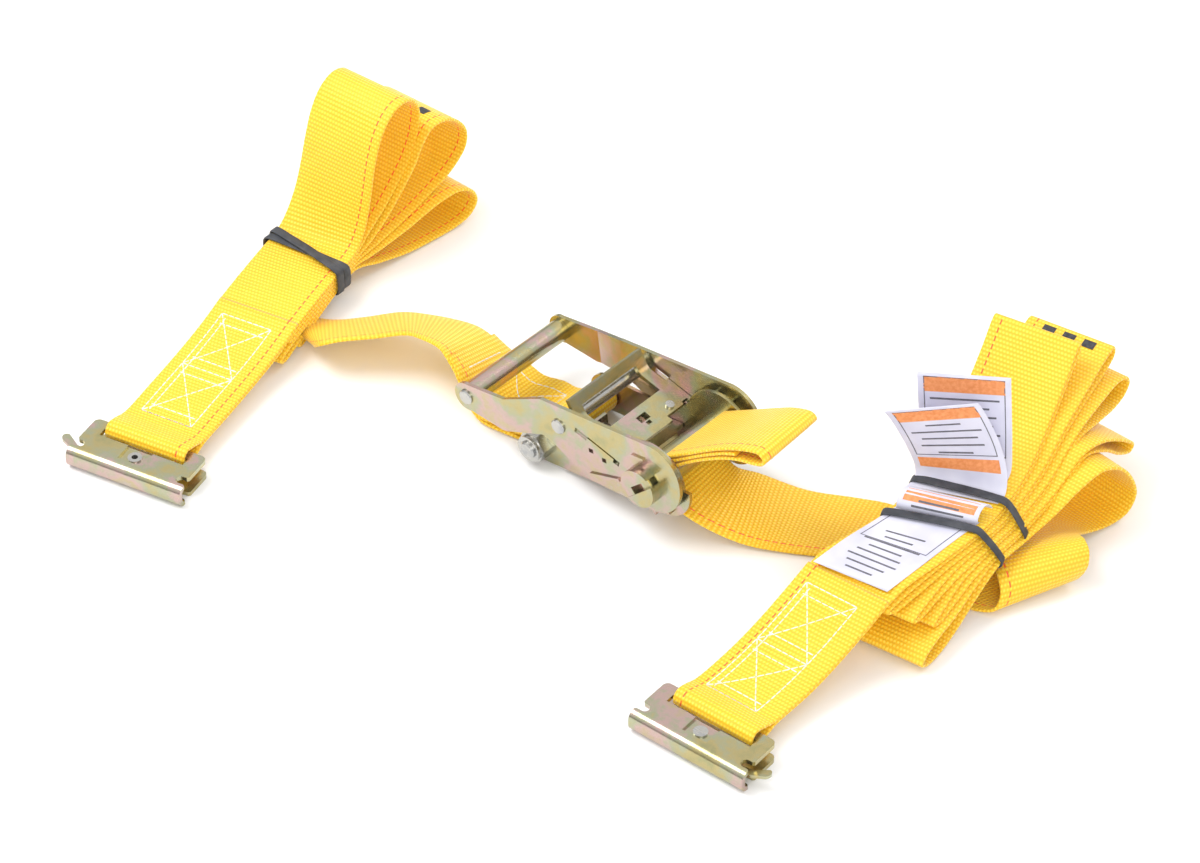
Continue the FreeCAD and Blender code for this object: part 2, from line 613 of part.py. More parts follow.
def fitting_latch(side, ear):
    """Spring-loaded plate that turns on the rivet; its ear stands out of one notch."""
    body = new_body("fitting_%s_latch" % side)
    low, thick, rise = dim("latch_low"), dim("latch_thick"), dim("latch_rise")
    tail, bend, tip = -8.0 * ear, 29.0 * ear, dim("latch_reach") * ear
    strip = sketch_on(body, "XZ_Plane", "-24")
    outline(strip, [(tail, low), (bend, low), (tip, low + rise), (tip, low + rise + thick),
                    (bend - 0.4 * ear, low + thick), (tail, low + thick)])
    pad(body, strip, "30", False)
    plan = sketch_on(body, "XY_Plane")
    rivet_y = dim("fitting_rivet_y")
    rectangle(plan, -70.0, -30.0, 70.0, 60.0)
    outline(plan, [(-2.0 * ear, rivet_y - 5.6), (10.0 * ear, rivet_y - 5.2), (24.0 * ear, 5.2),
                   (31.0 * ear, 5.2), (41.5 * ear, 8.6),
                   ("arc", (43.6 * ear, 11.6), (41.2 * ear, 14.2)), (34.0 * ear, 10.4),
                   (26.0 * ear, 10.4), (16.0 * ear, 16.0), (-2.0 * ear, rivet_y + 5.2),
                   ("arc", (-7.0 * ear, rivet_y), (-2.0 * ear, rivet_y - 5.6))])
    pocket(body, plan, "60")
    hole = sketch_on(body, "XY_Plane")
    circle(hole, 0.0, rivet_y, "Dims.fitting_rivet_r + 0.05")
    pocket(body, hole, "60")
    body.Placement = fitting_placement(side)
    return body


def fitting_rivet(side, hollow):
    """Rivet through both plates and the latch; its foot is flush with the bottom plate."""
    body = new_body("fitting_%s_rivet" % side)
    y = dim("fitting_rivet_y")
    shank = sketch_on(body, "XY_Plane", "0.1")
    circle(shank, 0.0, y, "Dims.fitting_rivet_r")
    pad(body, shank, "Dims.fitting_height - 1.4", False)
    head = sketch_on(body, "XY_Plane", "Dims.fitting_height - 1.35")
    circle(head, 0.0, y, "Dims.fitting_rivet_r + 1.2")
    pad(body, head, "0.9", False)
    if hollow:
        bore = sketch_on(body, "XY_Plane", "Dims.fitting_height")
        circle(bore, 0.0, y, "Dims.fitting_rivet_r - 0.9")
        cut_side(body, bore, "8", False)
    body.Placement = fitting_placement(side)
    return body


def fitting_spring(side):
    """Two-turn torsion coil around the rivet, under the latch."""
    radius, wire = dim("coil_r"), dim("coil_wire")
    low, rise = dim("coil_low"), dim("coil_rise")
    helix = Part.makeHelix(rise / 2.0, rise, radius)
    section = Part.Wire(Part.makeCircle(wire / 2.0, Vector(radius, 0, 0), Vector(0, 1, 0)))
    coil = Part.Wire(helix.Edges).makePipeShell([section], True, True)
    piece = new_feature("fitting_%s_spring" % side, coil)
    seat = Placement(Vector(0, dim("fitting_rivet_y"), low), Rotation())
    piece.Placement = fitting_placement(side).multiply(seat)
    return piece


# ---------------------------------------------------------------- webbing, bands and labels
# Webbing solids run through stations.  A station is the left edge and the right edge of the
# strap, each (x, y, z) at its underside, and the rise to its upper side: a height or (x, y, z).

def ribbon(label, stations):
    """Closed solid with flat triangular facets through the stations."""
    rings = []
    for left, right, rise in stations:
        up = Vector(*rise) if isinstance(rise, tuple) else Vector(0, 0, rise)
        low_left, low_right = Vector(*left), Vector(*right)
        rings.append([low_left, low_right, low_right + up, low_left + up])
    corners = []
    for near, far in zip(rings, rings[1:]):
        for k in range(4):
            a, b, c, d = near[k], near[(k + 1) % 4], far[(k + 1) % 4], far[k]
            corners += [(a, b, c), (a, c, d)]
    for ring in (rings[0], rings[-1]):
        corners += [(ring[0], ring[1], ring[2]), (ring[0], ring[2], ring[3])]
    faces = [Part.Face(Part.makePolygon([a, b, c, a])) for a, b, c in corners]
    solid = Part.makeSolid(Part.makeShell(faces))
    if solid.Volume < 0:
        solid.reverse()
    piece = new_feature(label, solid)
    piece.Placement = Placement(floor_point(0, 0, 0), Rotation())
    return piece


def across(centre, yaw, low, height):
    """Station square to the strap: plan centre, yaw in degrees from +Y towards -X."""
    turn = math.radians(yaw)
    side = Vector(math.cos(turn), math.sin(turn), 0) * (dim("webbing_width") / 2.0)
    middle = Vector(centre[0], centre[1], low)
    return tuple(middle - side), tuple(middle + side), height


def fan(label, start, heading, yaws, steps):
    """Bundle of folds from a plan start; steps are (distance, sideways, low, high)."""
    turn = math.radians(heading)
    stations = []
    for distance, side, low, high in steps:
        part_way = (distance - steps[0][0]) / (steps[-1][0] - steps[0][0])
        centre = (start[0] - math.sin(turn) * distance + math.cos(turn) * side,
                  start[1] + math.cos(turn) * distance + math.sin(turn) * side)
        yaw = yaws[0] + (yaws[1] - yaws[0]) * part_way
        stations.append(across(centre, yaw, low, high - low))
    return ribbon(label, stations)


def fitting_loop(label, side, sewn, end_low):
    """Webbing around the fitting's rear bar, then the sewn double layer up to its end."""
    body = new_body(label)
    bar_y = (dim("slot_rear") + dim("fitting_depth")) / 2.0
    bar_z = dim("fitting_height") - dim("fitting_plate") / 2.0
    inner = dim("bar_inner_r")
    outer = inner + dim("webbing_thick")
    thick = 2.1 * dim("webbing_thick")
    profile = sketch_on(body, "YZ_Plane")
    outline(profile, [(bar_y, bar_z + outer), ("arc", (bar_y - outer, bar_z), (bar_y, bar_z - outer)),
                      (bar_y + 14.0, bar_z - 3.2), (bar_y + sewn, end_low), (bar_y + sewn, end_low + thick),
                      (bar_y + 14.0, bar_z - 3.2 + thick)])
    outline(profile, [(bar_y, bar_z + inner), ("arc", (bar_y - inner, bar_z), (bar_y, bar_z - inner)),
                      (bar_y + 11.0, bar_z - 1.1)])
    pad(body, profile, "Dims.webbing_width")
    body.Placement = fitting_placement(side)
    return body


def anchor_centre():
    """Bolt axis in the layout's X and Z."""
    pitch = math.radians(dim("ratchet_pitch"))
    x, z = dim("bolt_x"), dim("bolt_z")
    return (dim("hub_x") + x * math.cos(pitch) - z * math.sin(pitch),
            dim("hub_z") + x * math.sin(pitch) + z * math.cos(pitch))


def anchor_loop():
    """Eye of the short strap around the sleeve, running down to the floor."""
    body = new_body("short_strap_eye")
    inner = dim("sleeve_r") + 0.2
    outer = inner + dim("webbing_thick")
    bolt_x, bolt_z = anchor_centre()
    low = dim("soft_gap")
    high = low + 2.1 * dim("webbing_thick")
    eye = sketch_on(body, "XZ_Plane")

    def around(radius, angle):
        """Point on a circle about the bolt."""
        a, b = polar(radius, angle)
        return bolt_x + a, bolt_z + b
    outline(eye, [around(outer, 142.0), ("arc", around(outer, 26.0), around(outer, -90.0)),
                  (bolt_x - 16.0, low), (bolt_x - 27.0, low), (bolt_x - 27.0, high), (bolt_x - 17.0, high)])
    outline(eye, [around(inner, 145.0), ("arc", around(inner, 25.0), around(inner, -95.0)),
                  (bolt_x - 13.0, bolt_z - 6.0)])
    pad(body, eye, "Dims.webbing_width")
    body.Placement = Placement(floor_point(0, dim("hub_y"), 0), Rotation())
    return body


def short_strap():
    """Fitting loop, flat folds, three standing loops, and the twisted run to the ratchet."""
    fitting_loop("short_strap_lead", "left", 93.0, 12.6)
    start, heading = (-158.5, -178.0), 14.5
    fan("short_strap_folds", start, heading, (14.5, 14.5), [
        (100.0, 0.0, 0.3, 12.0), (121.0, 0.0, 0.3, 18.0), (150.0, 0.0, 1.7, 21.0), (182.0, 0.0, 1.7, 23.0)])
    fan("short_strap_loop_top", start, heading, (14.5, 5.0), [
        (182.4, 0.0, 15.6, 23.0), (212.0, 1.0, 27.0, 58.0), (240.0, 4.0, 44.0, 90.0),
        (256.0, 6.0, 54.0, 93.0), (264.0, 7.0, 66.0, 84.0)])
    fan("short_strap_loop_middle", start, heading, (14.5, 3.0), [
        (182.4, 1.0, 7.8, 15.2), (214.0, 4.0, 12.5, 26.0), (250.0, 10.0, 22.0, 43.0),
        (280.0, 15.0, 28.0, 52.0), (290.0, 16.0, 36.0, 46.0)])
    fan("short_strap_loop_low", start, heading, (14.5, 0.0), [
        (182.4, 2.0, 0.3, 7.4), (214.0, 7.0, 0.3, 11.6), (250.0, 16.0, 0.3, 19.6),
        (272.0, 23.0, 2.0, 24.0), (282.0, 24.0, 8.0, 20.0)])
    thick = dim("webbing_thick")
    ribbon("short_strap_run", [
        ((-37.3, -35.5, 0.3), (-37.3, 12.5, 0.6), 2.0 * thick),
        ((-51.0, -39.0, 1.0), (-50.0, 9.6, 0.6), 2.0 * thick),
        ((-63.0, -36.0, 8.0), (-62.0, 10.0, 2.0), 2.4 * thick),
        ((-72.0, -34.5, 22.0), (-76.0, 10.0, 5.0), 2.6 * thick),
        ((-80.0, -33.5, 30.0), (-86.0, 9.5, 10.0), 2.4 * thick),
        ((-94.0, -34.0, 31.0), (-106.0, 6.0, 11.6), 1.2 * thick),
        ((-105.5, -34.0, 28.3), (-137.5, -4.0, 6.6), 1.2 * thick),
        ((-121.0, -47.0, 24.3), (-155.0, -18.0, 1.6), 1.2 * thick),
        ((-134.0, -58.5, 23.2), (-165.0, -28.0, 0.4), 1.2 * thick)])
    anchor_loop()


def spindle_winding():
    """Webbing between the two mandrels."""
    core = doc.addObject("Part::Box", "long_strap_core")
    core.Label = "long_strap_core"
    core.setExpression("Length", "2 * (Dims.mandrel_r - 0.3)")
    core.setExpression("Width", "Dims.webbing_width")
    core.setExpression("Height", "2 * Dims.slot_half - 0.4")
    nodes.append(core)
    doc.recompute()
    corner = Vector(-core.Length.Value / 2, -core.Width.Value / 2, -core.Height.Value / 2)
    turn = Placement(Vector(0, 0, 0), Rotation(Vector(0, 1, 0), -dim("slot_angle")))
    core.Placement = ratchet_placement().multiply(turn).multiply(Placement(corner, Rotation()))
    return core


def long_strap():
    """Standing tail, run along the floor, U-turn, folds under two bands, loops, fitting loop."""
    thick = dim("webbing_thick")
    stack = 2.6 * thick
    ribbon("long_strap_tail", [
        ((74.5, 15.0, 37.2), (74.5, -33.5, 37.2), stack),
        ((79.0, 15.0, 41.8), (83.0, -33.5, 46.5), stack),
        ((90.0, 15.0, 50.5), (95.0, -33.5, 58.0), stack),
        ((109.0, 15.0, 65.0), (110.0, -33.5, 70.0), stack),
        ((128.0, 15.0, 75.5), (134.0, -33.5, 84.0), 0.8 * stack)])
    ribbon("long_strap_run", [
        ((66.0, 15.0, 18.8), (66.0, -33.5, 18.8), thick),
        ((71.0, 15.0, 14.6), (75.0, -33.0, 17.0), 1.2 * thick),
        ((80.0, 15.6, 10.2), (90.0, -32.0, 11.8), 1.2 * thick),
        ((93.0, 21.0, 8.0), (113.0, -21.0, 3.0), 1.2 * thick),
        ((113.0, 34.0, 1.0), (132.0, -11.0, 0.6), thick),
        ((135.0, 50.0, 0.3), (152.0, -1.0, 0.3), thick),
        ((152.0, 58.0, 0.3), (166.0, 6.0, 0.3), thick)])
    ribbon("long_strap_turn", [
        ((239.0, 62.0, 0.3), (237.5, 14.0, 0.3), 10.0),
        ((246.0, 70.0, 0.3), (247.0, 32.0, 0.3), 24.0),
        ((252.0, 79.0, 0.3), (257.0, 56.0, 0.3), 30.0),
        ((256.0, 86.0, 2.0), (262.0, 73.0, 2.0), 10.0 * thick)])
    fan("long_strap_folds_low", (214.0, -27.0), 8.5, (8.5, 3.0), [
        (0.0, 0.0, 2.8, 15.2), (50.0, 0.0, 2.8, 15.2), (95.0, 0.0, 2.8, 15.2)])
    fan("long_strap_folds_high", (196.2, -38.5), -2.0, (3.0, -2.0), [
        (0.0, 0.0, 15.6, 30.0), (20.0, 0.0, 15.6, 36.0), (60.0, 0.0, 15.6, 38.0), (106.5, 0.0, 15.6, 39.0)])
    fan("long_strap_loop_top", (199.5, 69.4), 21.0, (0.0, 17.0), [
        (0.0, 0.0, 27.4, 39.0), (25.0, 0.0, 38.0, 56.0), (48.0, 0.0, 50.0, 74.0),
        (70.0, 0.0, 62.0, 86.0), (79.0, 0.0, 70.0, 82.0)])
    fan("long_strap_loop_middle", (200.0, 69.4), 9.5, (0.0, 8.0), [
        (0.0, 0.0, 15.4, 27.0), (35.0, 0.0, 20.0, 38.0), (75.0, 0.0, 30.0, 56.0),
        (98.0, 0.0, 38.0, 64.0), (107.0, 0.0, 46.0, 60.0)])
    fan("long_strap_loop_low", (201.0, 69.4), -9.0, (-2.0, -13.0), [
        (0.0, 0.0, 0.3, 15.0), (30.0, 0.0, 0.3, 19.0), (62.0, 0.0, 0.3, 23.6),
        (86.0, 0.0, 4.0, 30.0), (94.0, 0.0, 12.0, 26.0)])
    fitting_loop("long_strap_lead", "right", 90.0, 26.0)
    spindle_winding()


def rubber_band(label, centre, yaw, width, low, high):
    """Flat band pulled tight around a bundle."""
    body = new_body(label)
    wall = 1.2
    ring = sketch_on(body, "XZ_Plane")
    rectangle(ring, -width / 2, low, width / 2, high)
    rectangle(ring, -width / 2 + wall, low + wall, width / 2 - wall, high - wall)
    pad(body, ring, "5.5")
    body.Placement = Placement(floor_point(centre[0], centre[1], 0), Rotation(Vector(0, 0, 1), yaw))
    return body


def bands():
    """One band on the short strap's bundle and two on the long strap's."""
    rubber_band("band_left", (-201.6, -11.2), 14.5, 52.0, 0.1, 24.4)
    rubber_band("band_right_front", (202.0, 31.0), 26.0, 70.0, 0.1, 40.6)
    rubber_band("band_right_rear", (203.4, 51.0), 26.0, 70.0, 0.1, 40.8)


def labels():
    """Cloth labels of the long strap: one lies flat, one curls up, two stand."""
    cloth = dim("label_thick")
    ribbon("label_flat", [
        ((173.5, -36.0, 34.2), (214.5, -29.0, 35.6), cloth),
        ((174.0, -14.0, 37.0), (215.0, -8.0, 37.4), cloth),
        ((176.0, 8.0, 38.4), (219.0, 20.0, 38.8), cloth)])
    ribbon("label_curled", [
        ((177.0, 29.0, 39.8), (177.0, 29.8, 39.8), (1.0, -5.0, 11.0)),
        ((224.0, 52.0, 39.8), (224.0, 52.8, 39.8), (1.0, -5.0, 9.0))])
    ribbon("label_standing_front", [
        ((177.0, 43.0, 40.4), (177.0, 43.8, 40.4), (-8.0, -15.0, 50.0)),
        ((214.0, 66.0, 41.4), (214.0, 66.8, 41.4), (-6.0, -8.0, 54.0))])
    ribbon("label_standing_rear", [
        ((172.0, 49.0, 44.0), (172.0, 49.8, 44.0), (-7.0, 3.0, 58.0)),
        ((212.0, 71.0, 46.0), (212.0, 71.8, 46.0), (-5.0, 8.0, 56.0))])


# ---------------------------------------------------------------- assembly

def ratchet():
    """Everything drawn about the spindle axis, then set down together."""
    pieces = [frame(), anchor_bolt(), anchor_nut(), anchor_sleeve(), lock_pawl(),
              mandrel("mandrel_upper", 1), mandrel("mandrel_lower", -1),
              ratchet_wheel("ratchet_wheel_near", True), ratchet_wheel("ratchet_wheel_far", False),
              spindle_key(), spindle_washer(), handle(), grip_tube(), drive_pawl()]
    pieces.append(riveted_rod("grip_rod", dim("grip_x"), dim("grip_z"), "Dims.rivet_r",
                              "Dims.handle_inner + Dims.flare", "Dims.handle_outer + Dims.flare"))
    pieces.append(riveted_rod("cross_rod", dim("rod_x"), dim("rod_z"), "Dims.rod_r",
                              "Dims.handle_inner", "Dims.handle_outer"))
    for piece in pieces:
        piece.Placement = ratchet_placement()
    pin = spindle_pin()
    pin.Placement = ratchet_placement().multiply(pin.Placement)
    pawl_rivet()
    slope = math.radians(dim("pawl_slope"))
    drop = dim("spring_drop")
    near, far = on_slope(dim("spring_front") + 0.2, drop), on_slope(dim("spring_rear") - 0.2, drop)
    coil_spring("drive_pawl_spring", Vector(near[0], 0, near[1]), Vector(far[0], 0, far[1]), 2.2, 0.7, 7)
    tail = Vector(dim("lock_tail") - 0.4, 0, dim("lock_z"))
    lug = Vector(-61.4, 0, dim("lock_z"))
    coil_spring("lock_pawl_spring", tail, lug, 3.0, 0.8, 8)


def fittings():
    """Both end fittings; the left latch stands out to the left, the right one to the right."""
    for side, ear, hollow in (("left", -1, True), ("right", 1, False)):
        fitting_body(side)
        fitting_latch(side, ear)
        fitting_rivet(side, hollow)
        fitting_spring(side)


def write_parts():
    """Stop at the first bad object; then write one STEP file per node."""
    doc.recompute()
    for thing in doc.Objects:
        if "Invalid" in thing.State or "Error" in thing.State:
            raise RuntimeError("%s is %s" % (thing.Label, thing.State))
    for node in nodes:
        if node.Shape.isNull() or not node.Shape.isValid() or node.Shape.Volume <= 0:
            raise RuntimeError("bad shape: " + node.Label)
    os.makedirs("parts", exist_ok=True)
    for node in nodes:
        node.Shape.exportStep("parts/%s.step" % node.Label)


fill_sheet()
ratchet()
fittings()
short_strap()
long_strap()
bands()
labels()
write_parts()
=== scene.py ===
"""Ratchet tie down: webbing, labels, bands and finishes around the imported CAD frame.

Route points are in millimetres in the layout that the part's source uses; place() moves them
into the row frame, in metres.  A station is the left edge and the right edge of a strap.
"""

import math

import bpy
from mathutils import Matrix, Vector


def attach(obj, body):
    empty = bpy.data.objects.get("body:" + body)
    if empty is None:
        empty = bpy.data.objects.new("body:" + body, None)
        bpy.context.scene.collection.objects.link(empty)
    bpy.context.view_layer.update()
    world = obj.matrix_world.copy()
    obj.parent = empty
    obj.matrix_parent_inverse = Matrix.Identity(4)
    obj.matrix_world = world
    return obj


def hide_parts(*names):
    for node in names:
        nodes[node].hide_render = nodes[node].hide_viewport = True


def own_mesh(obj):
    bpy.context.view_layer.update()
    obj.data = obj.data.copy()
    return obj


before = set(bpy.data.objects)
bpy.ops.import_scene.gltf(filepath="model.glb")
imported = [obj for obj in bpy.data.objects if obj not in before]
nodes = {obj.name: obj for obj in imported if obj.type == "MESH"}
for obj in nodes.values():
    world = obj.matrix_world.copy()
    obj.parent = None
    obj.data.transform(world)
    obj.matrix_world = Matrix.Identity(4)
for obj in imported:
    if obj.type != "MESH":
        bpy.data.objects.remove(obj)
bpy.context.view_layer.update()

SHIFT = Vector((-10.01, 13.66, 0.0))
MM = 0.001
WIDTH = 48.5
STRAP = 1.8
CLOTH = 0.45
ROOT = "ratchet_frame"


def place(p):
    """Layout millimetres to row-frame metres."""
    return (Vector(p) + SHIFT) * MM


# ---------------------------------------------------------------- curves

def spline(points, closeness=0.25):
    """Dense centripetal Catmull-Rom samples through tuples of any length."""
    ends = [[2 * a - b for a, b in zip(points[0], points[1])]]
    ends += [list(p) for p in points]
    ends += [[2 * a - b for a, b in zip(points[-1], points[-2])]]
    dense = []
    for k in range(1, len(ends) - 2):
        p0, p1, p2, p3 = ends[k - 1:k + 3]
        knots = [0.0]
        for a, b in ((p0, p1), (p1, p2), (p2, p3)):
            knots.append(knots[-1] + max(math.dist(a, b), 1e-6) ** 0.5)
        count = max(2, int(math.dist(p1, p2) / closeness))
        for i in range(count):
            t = knots[1] + (knots[2] - knots[1]) * i / count

            def blend(a, b, ta, tb):
                """Point between a and b at t on the knots ta and tb."""
                return [((tb - t) * x + (t - ta) * y) / (tb - ta) for x, y in zip(a, b)]
            a1 = blend(p0, p1, knots[0], knots[1])
            a2 = blend(p1, p2, knots[1], knots[2])
            a3 = blend(p2, p3, knots[2], knots[3])
            b1 = blend(a1, a2, knots[0], knots[2])
            b2 = blend(a2, a3, knots[1], knots[3])
            dense.append(blend(b1, b2, knots[1], knots[2]))
    dense.append(list(points[-1]))
    return dense


class Ribbon:
    """Surface of a flat strap along its stations; u runs across it and v along it, both in mm."""

    def __init__(self, stations, width=WIDTH, turn=8.0, longest=4.0):
        rows = spline([tuple(left) + tuple(right) for left, right in stations])
        pairs = [(Vector(r[:3]), Vector(r[3:])) for r in rows]
        middles = [(a + b) / 2 for a, b in pairs]
        kept, last = [0], 0
        for i in range(1, len(pairs) - 1):
            along = (middles[i] - middles[last]).length
            before = middles[last + 1] - middles[last]
            after = middles[i + 1] - middles[i]
            if along > longest or (along > 0.5 and math.degrees(before.angle(after, 0.0)) > turn):
                kept.append(i)
                last = i
        kept.append(len(pairs) - 1)
        self.rows, self.v = [], []
        run = 0.0
        for n, i in enumerate(kept):
            left, right = pairs[i]
            ahead = middles[min(i + 1, len(pairs) - 1)] - middles[max(i - 1, 0)]
            side = (right - left).normalized()
            middle = middles[i]
            normal = side.cross(ahead).normalized()
            if n:
                run += (middle - self.rows[-1][0]).length
            self.rows.append((middle, side, normal))
            self.v.append(run)
        self.width, self.length = width, run

    def at(self, u, v, lift=0.0):
        """Point at u across and v along, lifted off the middle surface."""
        v = min(max(v, 0.0), self.length)
        k = 0
        while k < len(self.v) - 2 and self.v[k + 1] < v:
            k += 1
        span = self.v[k + 1] - self.v[k]
        t = (v - self.v[k]) / span if span else 0.0
        (m0, s0, n0), (m1, s1, n1) = self.rows[k], self.rows[k + 1]
        side, normal = s0.lerp(s1, t).normalized(), n0.lerp(n1, t).normalized()
        return m0.lerp(m1, t) + side * (u - self.width / 2) + normal * lift

    def nearest(self, point):
        """Distance v at which the ribbon's middle comes closest to a point."""
        gaps = [(middle - Vector(point)).length for middle, _, _ in self.rows]
        return self.v[gaps.index(min(gaps))]


def link(name, mesh, material, smooth=True):
    """New object in the scene with one material."""
    obj = bpy.data.objects.new(name, mesh)
    bpy.context.scene.collection.objects.link(obj)
    mesh.materials.append(material)
    for polygon in mesh.polygons:
        polygon.use_smooth = smooth
    return obj


def strap_mesh(name, ribbon, material, thick=STRAP, rim=0.7, mirror=False):
    """Closed thin solid around a ribbon, with rounded long edges and its own (u, v) attribute.

    The tracer is woven beside the right edge, or beside the left one when mirrored."""
    half, width = thick / 2, ribbon.width
    columns = [(0.0, 0.40), (rim * 0.3, 0.75), (rim, 1.0)]
    inner = max(2, int(width / 6.0))
    columns += [(rim + (width - 2 * rim) * k / inner, 1.0) for k in range(1, inner)]
    columns += [(width - rim, 1.0), (width - rim * 0.3, 0.75), (width, 0.40)]
    around = [(u, share, 1.0) for u, share in columns]
    around += [(u, -share, -1.0) for u, share in reversed(columns)]
    verts, data = [], []
    for (middle, side, normal), v in zip(ribbon.rows, ribbon.v):
        for u, share, face in around:
            verts.append(place(middle + side * (u - width / 2) + normal * (half * share)))
            data += [width - u if mirror else u, v, face]
    count, faces = len(around), []
    last = len(ribbon.rows)
    for i in range(last - 1):
        for k in range(count):
            a, b = i * count + k, i * count + (k + 1) % count
            faces.append((a, b, b + count, a + count))
    for row, flip in ((0, True), (last - 1, False)):
        base = row * count
        for k in range(count // 2 - 1):
            quad = (base + k, base + k + 1, base + count - 2 - k, base + count - 1 - k)
            faces.append(quad[::-1] if flip else quad)
    mesh = bpy.data.meshes.new(name)
    mesh.from_pydata(verts, [], faces)
    mesh.attributes.new("strap", "FLOAT_VECTOR", "POINT").data.foreach_set("vector", data)
    mesh.validate()
    mesh.update()
    return link(name, mesh, material)


def patch_mesh(name, ribbon, areas, lift, material, step=2.0):
    """Thin print or woven mark that follows the ribbon; an area is (u0, u1, v0, v1)."""
    verts, faces = [], []
    for u0, u1, v0, v1 in areas:
        across = max(1, int(abs(u1 - u0) / 6.0))
        along = max(1, int(abs(v1 - v0) / step))
        start = len(verts)
        for layer in (lift, lift - math.copysign(0.25, lift)):
            for i in range(along + 1):
                for k in range(across + 1):
                    u, v = u0 + (u1 - u0) * k / across, v0 + (v1 - v0) * i / along
                    verts.append(place(ribbon.at(u, v, layer)))
        row, block = across + 1, (across + 1) * (along + 1)

        def quad(a, b, c, d):
            """Face of this area by its own point numbers."""
            faces.append((start + a, start + b, start + c, start + d))
        for i in range(along):
            for k in range(across):
                a = i * row + k
                quad(a, a + 1, a + row + 1, a + row)
                quad(block + a, block + a + row, block + a + row + 1, block + a + 1)
        for i in range(along):
            for k in (0, across):
                a = i * row + k
                quad(a, a + row, block + a + row, block + a)
        for k in range(across):
            for i in (0, along):
                a = i * row + k
                quad(a, a + 1, block + a + 1, block + a)
    mesh = bpy.data.meshes.new(name)
    mesh.from_pydata(verts, [], faces)
    mesh.validate()
    mesh.update()
    return link(name, mesh, material, smooth=False)


def stitches(name, ribbon, lines, material, lift, pitch=4.0, fill=0.86, half=0.42, rise=0.32):
    """Thread laid as short raised stitches along lines of (u, v) points."""
    verts, faces = [], []
    for line in lines:
        for (u0, v0), (u1, v1) in zip(line, line[1:]):
            span = math.hypot(u1 - u0, v1 - v0)
            count = max(1, round(span / pitch))
            du, dv = (u1 - u0) / span, (v1 - v0) / span
            for k in range(count):
                start = len(verts)
                for part in (0.0, 0.14, 0.5, 0.86, 1.0):
                    s = (k + 0.5 + (part - 0.5) * fill) * span / count
                    crown = math.sin(math.pi * min(1.0, part * 0.9 + 0.05)) ** 0.5
                    u, v = u0 + du * s, v0 + dv * s
                    w = half * (0.55 + 0.45 * crown)
                    sign = math.copysign(1.0, lift)
                    top = lift + sign * rise * crown
                    low = lift - sign * 0.25
                    verts.extend((place(ribbon.at(u - dv * w, v + du * w, low)),
                                  place(ribbon.at(u - dv * w * 0.6, v + du * w * 0.6, top)),
                                  place(ribbon.at(u + dv * w * 0.6, v - du * w * 0.6, top)),
                                  place(ribbon.at(u + dv * w, v - du * w, low))))
                for i in range(4):
                    for j in range(4):
                        a, b = start + i * 4 + j, start + i * 4 + (j + 1) % 4
                        faces.append((a, b, b + 4, a + 4))
                faces.append((start, start + 1, start + 2, start + 3))
                faces.append((start + 19, start + 18, start + 17, start + 16))
    mesh = bpy.data.meshes.new(name)
    mesh.from_pydata(verts, [], faces)
    mesh.validate()
    mesh.update()
    return link(name, mesh, material)


# ---------------------------------------------------------------- materials

class Shader:
    """Small builder around one Principled material."""

    def __init__(self, name, **constants):
        self.material = bpy.data.materials.new(name)
        self.material.use_nodes = True
        self.tree = self.material.node_tree
        self.main = self.tree.nodes["Principled BSDF"]
        for socket, value in constants.items():
            self.main.inputs[socket.replace("_", " ")].default_value = value

    def node(self, kind, **settings):
        """New shader node of a kind, with its settings."""
        made = self.tree.nodes.new("ShaderNode" + kind)
        for key, value in settings.items():
            setattr(made, key, value)
        return made

    def feed(self, socket, value):
        """Link a socket, or set a constant on it."""
        if isinstance(value, bpy.types.NodeSocket):
            self.tree.links.new(value, socket)
        else:
            socket.default_value = value

    def math(self, operation, *values):
        """Output of a Math node."""
        made = self.node("Math", operation=operation)
        for socket, value in zip(made.inputs, values):
            self.feed(socket, value)
        return made.outputs[0]

    def noise(self, vector, scale, detail=2.0, roughness=0.5):
        """Grey noise over a vector."""
        made = self.node("TexNoise")
        self.tree.links.new(vector, made.inputs["Vector"])
        made.inputs["Scale"].default_value = scale
        made.inputs["Detail"].default_value = detail
        made.inputs["Roughness"].default_value = roughness
        return made.outputs["Fac"]

    def ramp(self, value, stops):
        """Colour from a value by (position, colour) stops."""
        made = self.node("ValToRGB")
        self.tree.links.new(value, made.inputs[0])
        elements = made.color_ramp.elements
        while len(elements) < len(stops):
            elements.new(0.5)
        for element, (at, colour) in zip(elements, stops):
            element.position = at
            element.color = (*colour, 1.0)
        return made.outputs[0]

    def mix(self, share, a, b):
        """Blend of two colours."""
        made = self.node("Mix", data_type="RGBA")
        self.feed(made.inputs["Factor"], share)
        for socket, value in ((made.inputs["A"], a), (made.inputs["B"], b)):
            self.feed([s for s in made.inputs if s.name == socket.name and s.type == "RGBA"][0],
                      value if isinstance(value, bpy.types.NodeSocket) else (*value, 1.0))
        return [s for s in made.outputs if s.type == "RGBA"][0]

    def to(self, socket, value):
        """Link an output to a socket of the main shader."""
        self.tree.links.new(value, self.main.inputs[socket])

    def bump(self, height, strength, distance):
        """Relief from a height."""
        made = self.node("Bump")
        made.inputs["Strength"].default_value = strength
        made.inputs["Distance"].default_value = distance
        self.tree.links.new(height, made.inputs["Height"])
        self.tree.links.new(made.outputs[0], self.main.inputs["Normal"])

    def object_point(self):
        """Point on the piece in its own space."""
        return self.node("TexCoord").outputs["Object"]


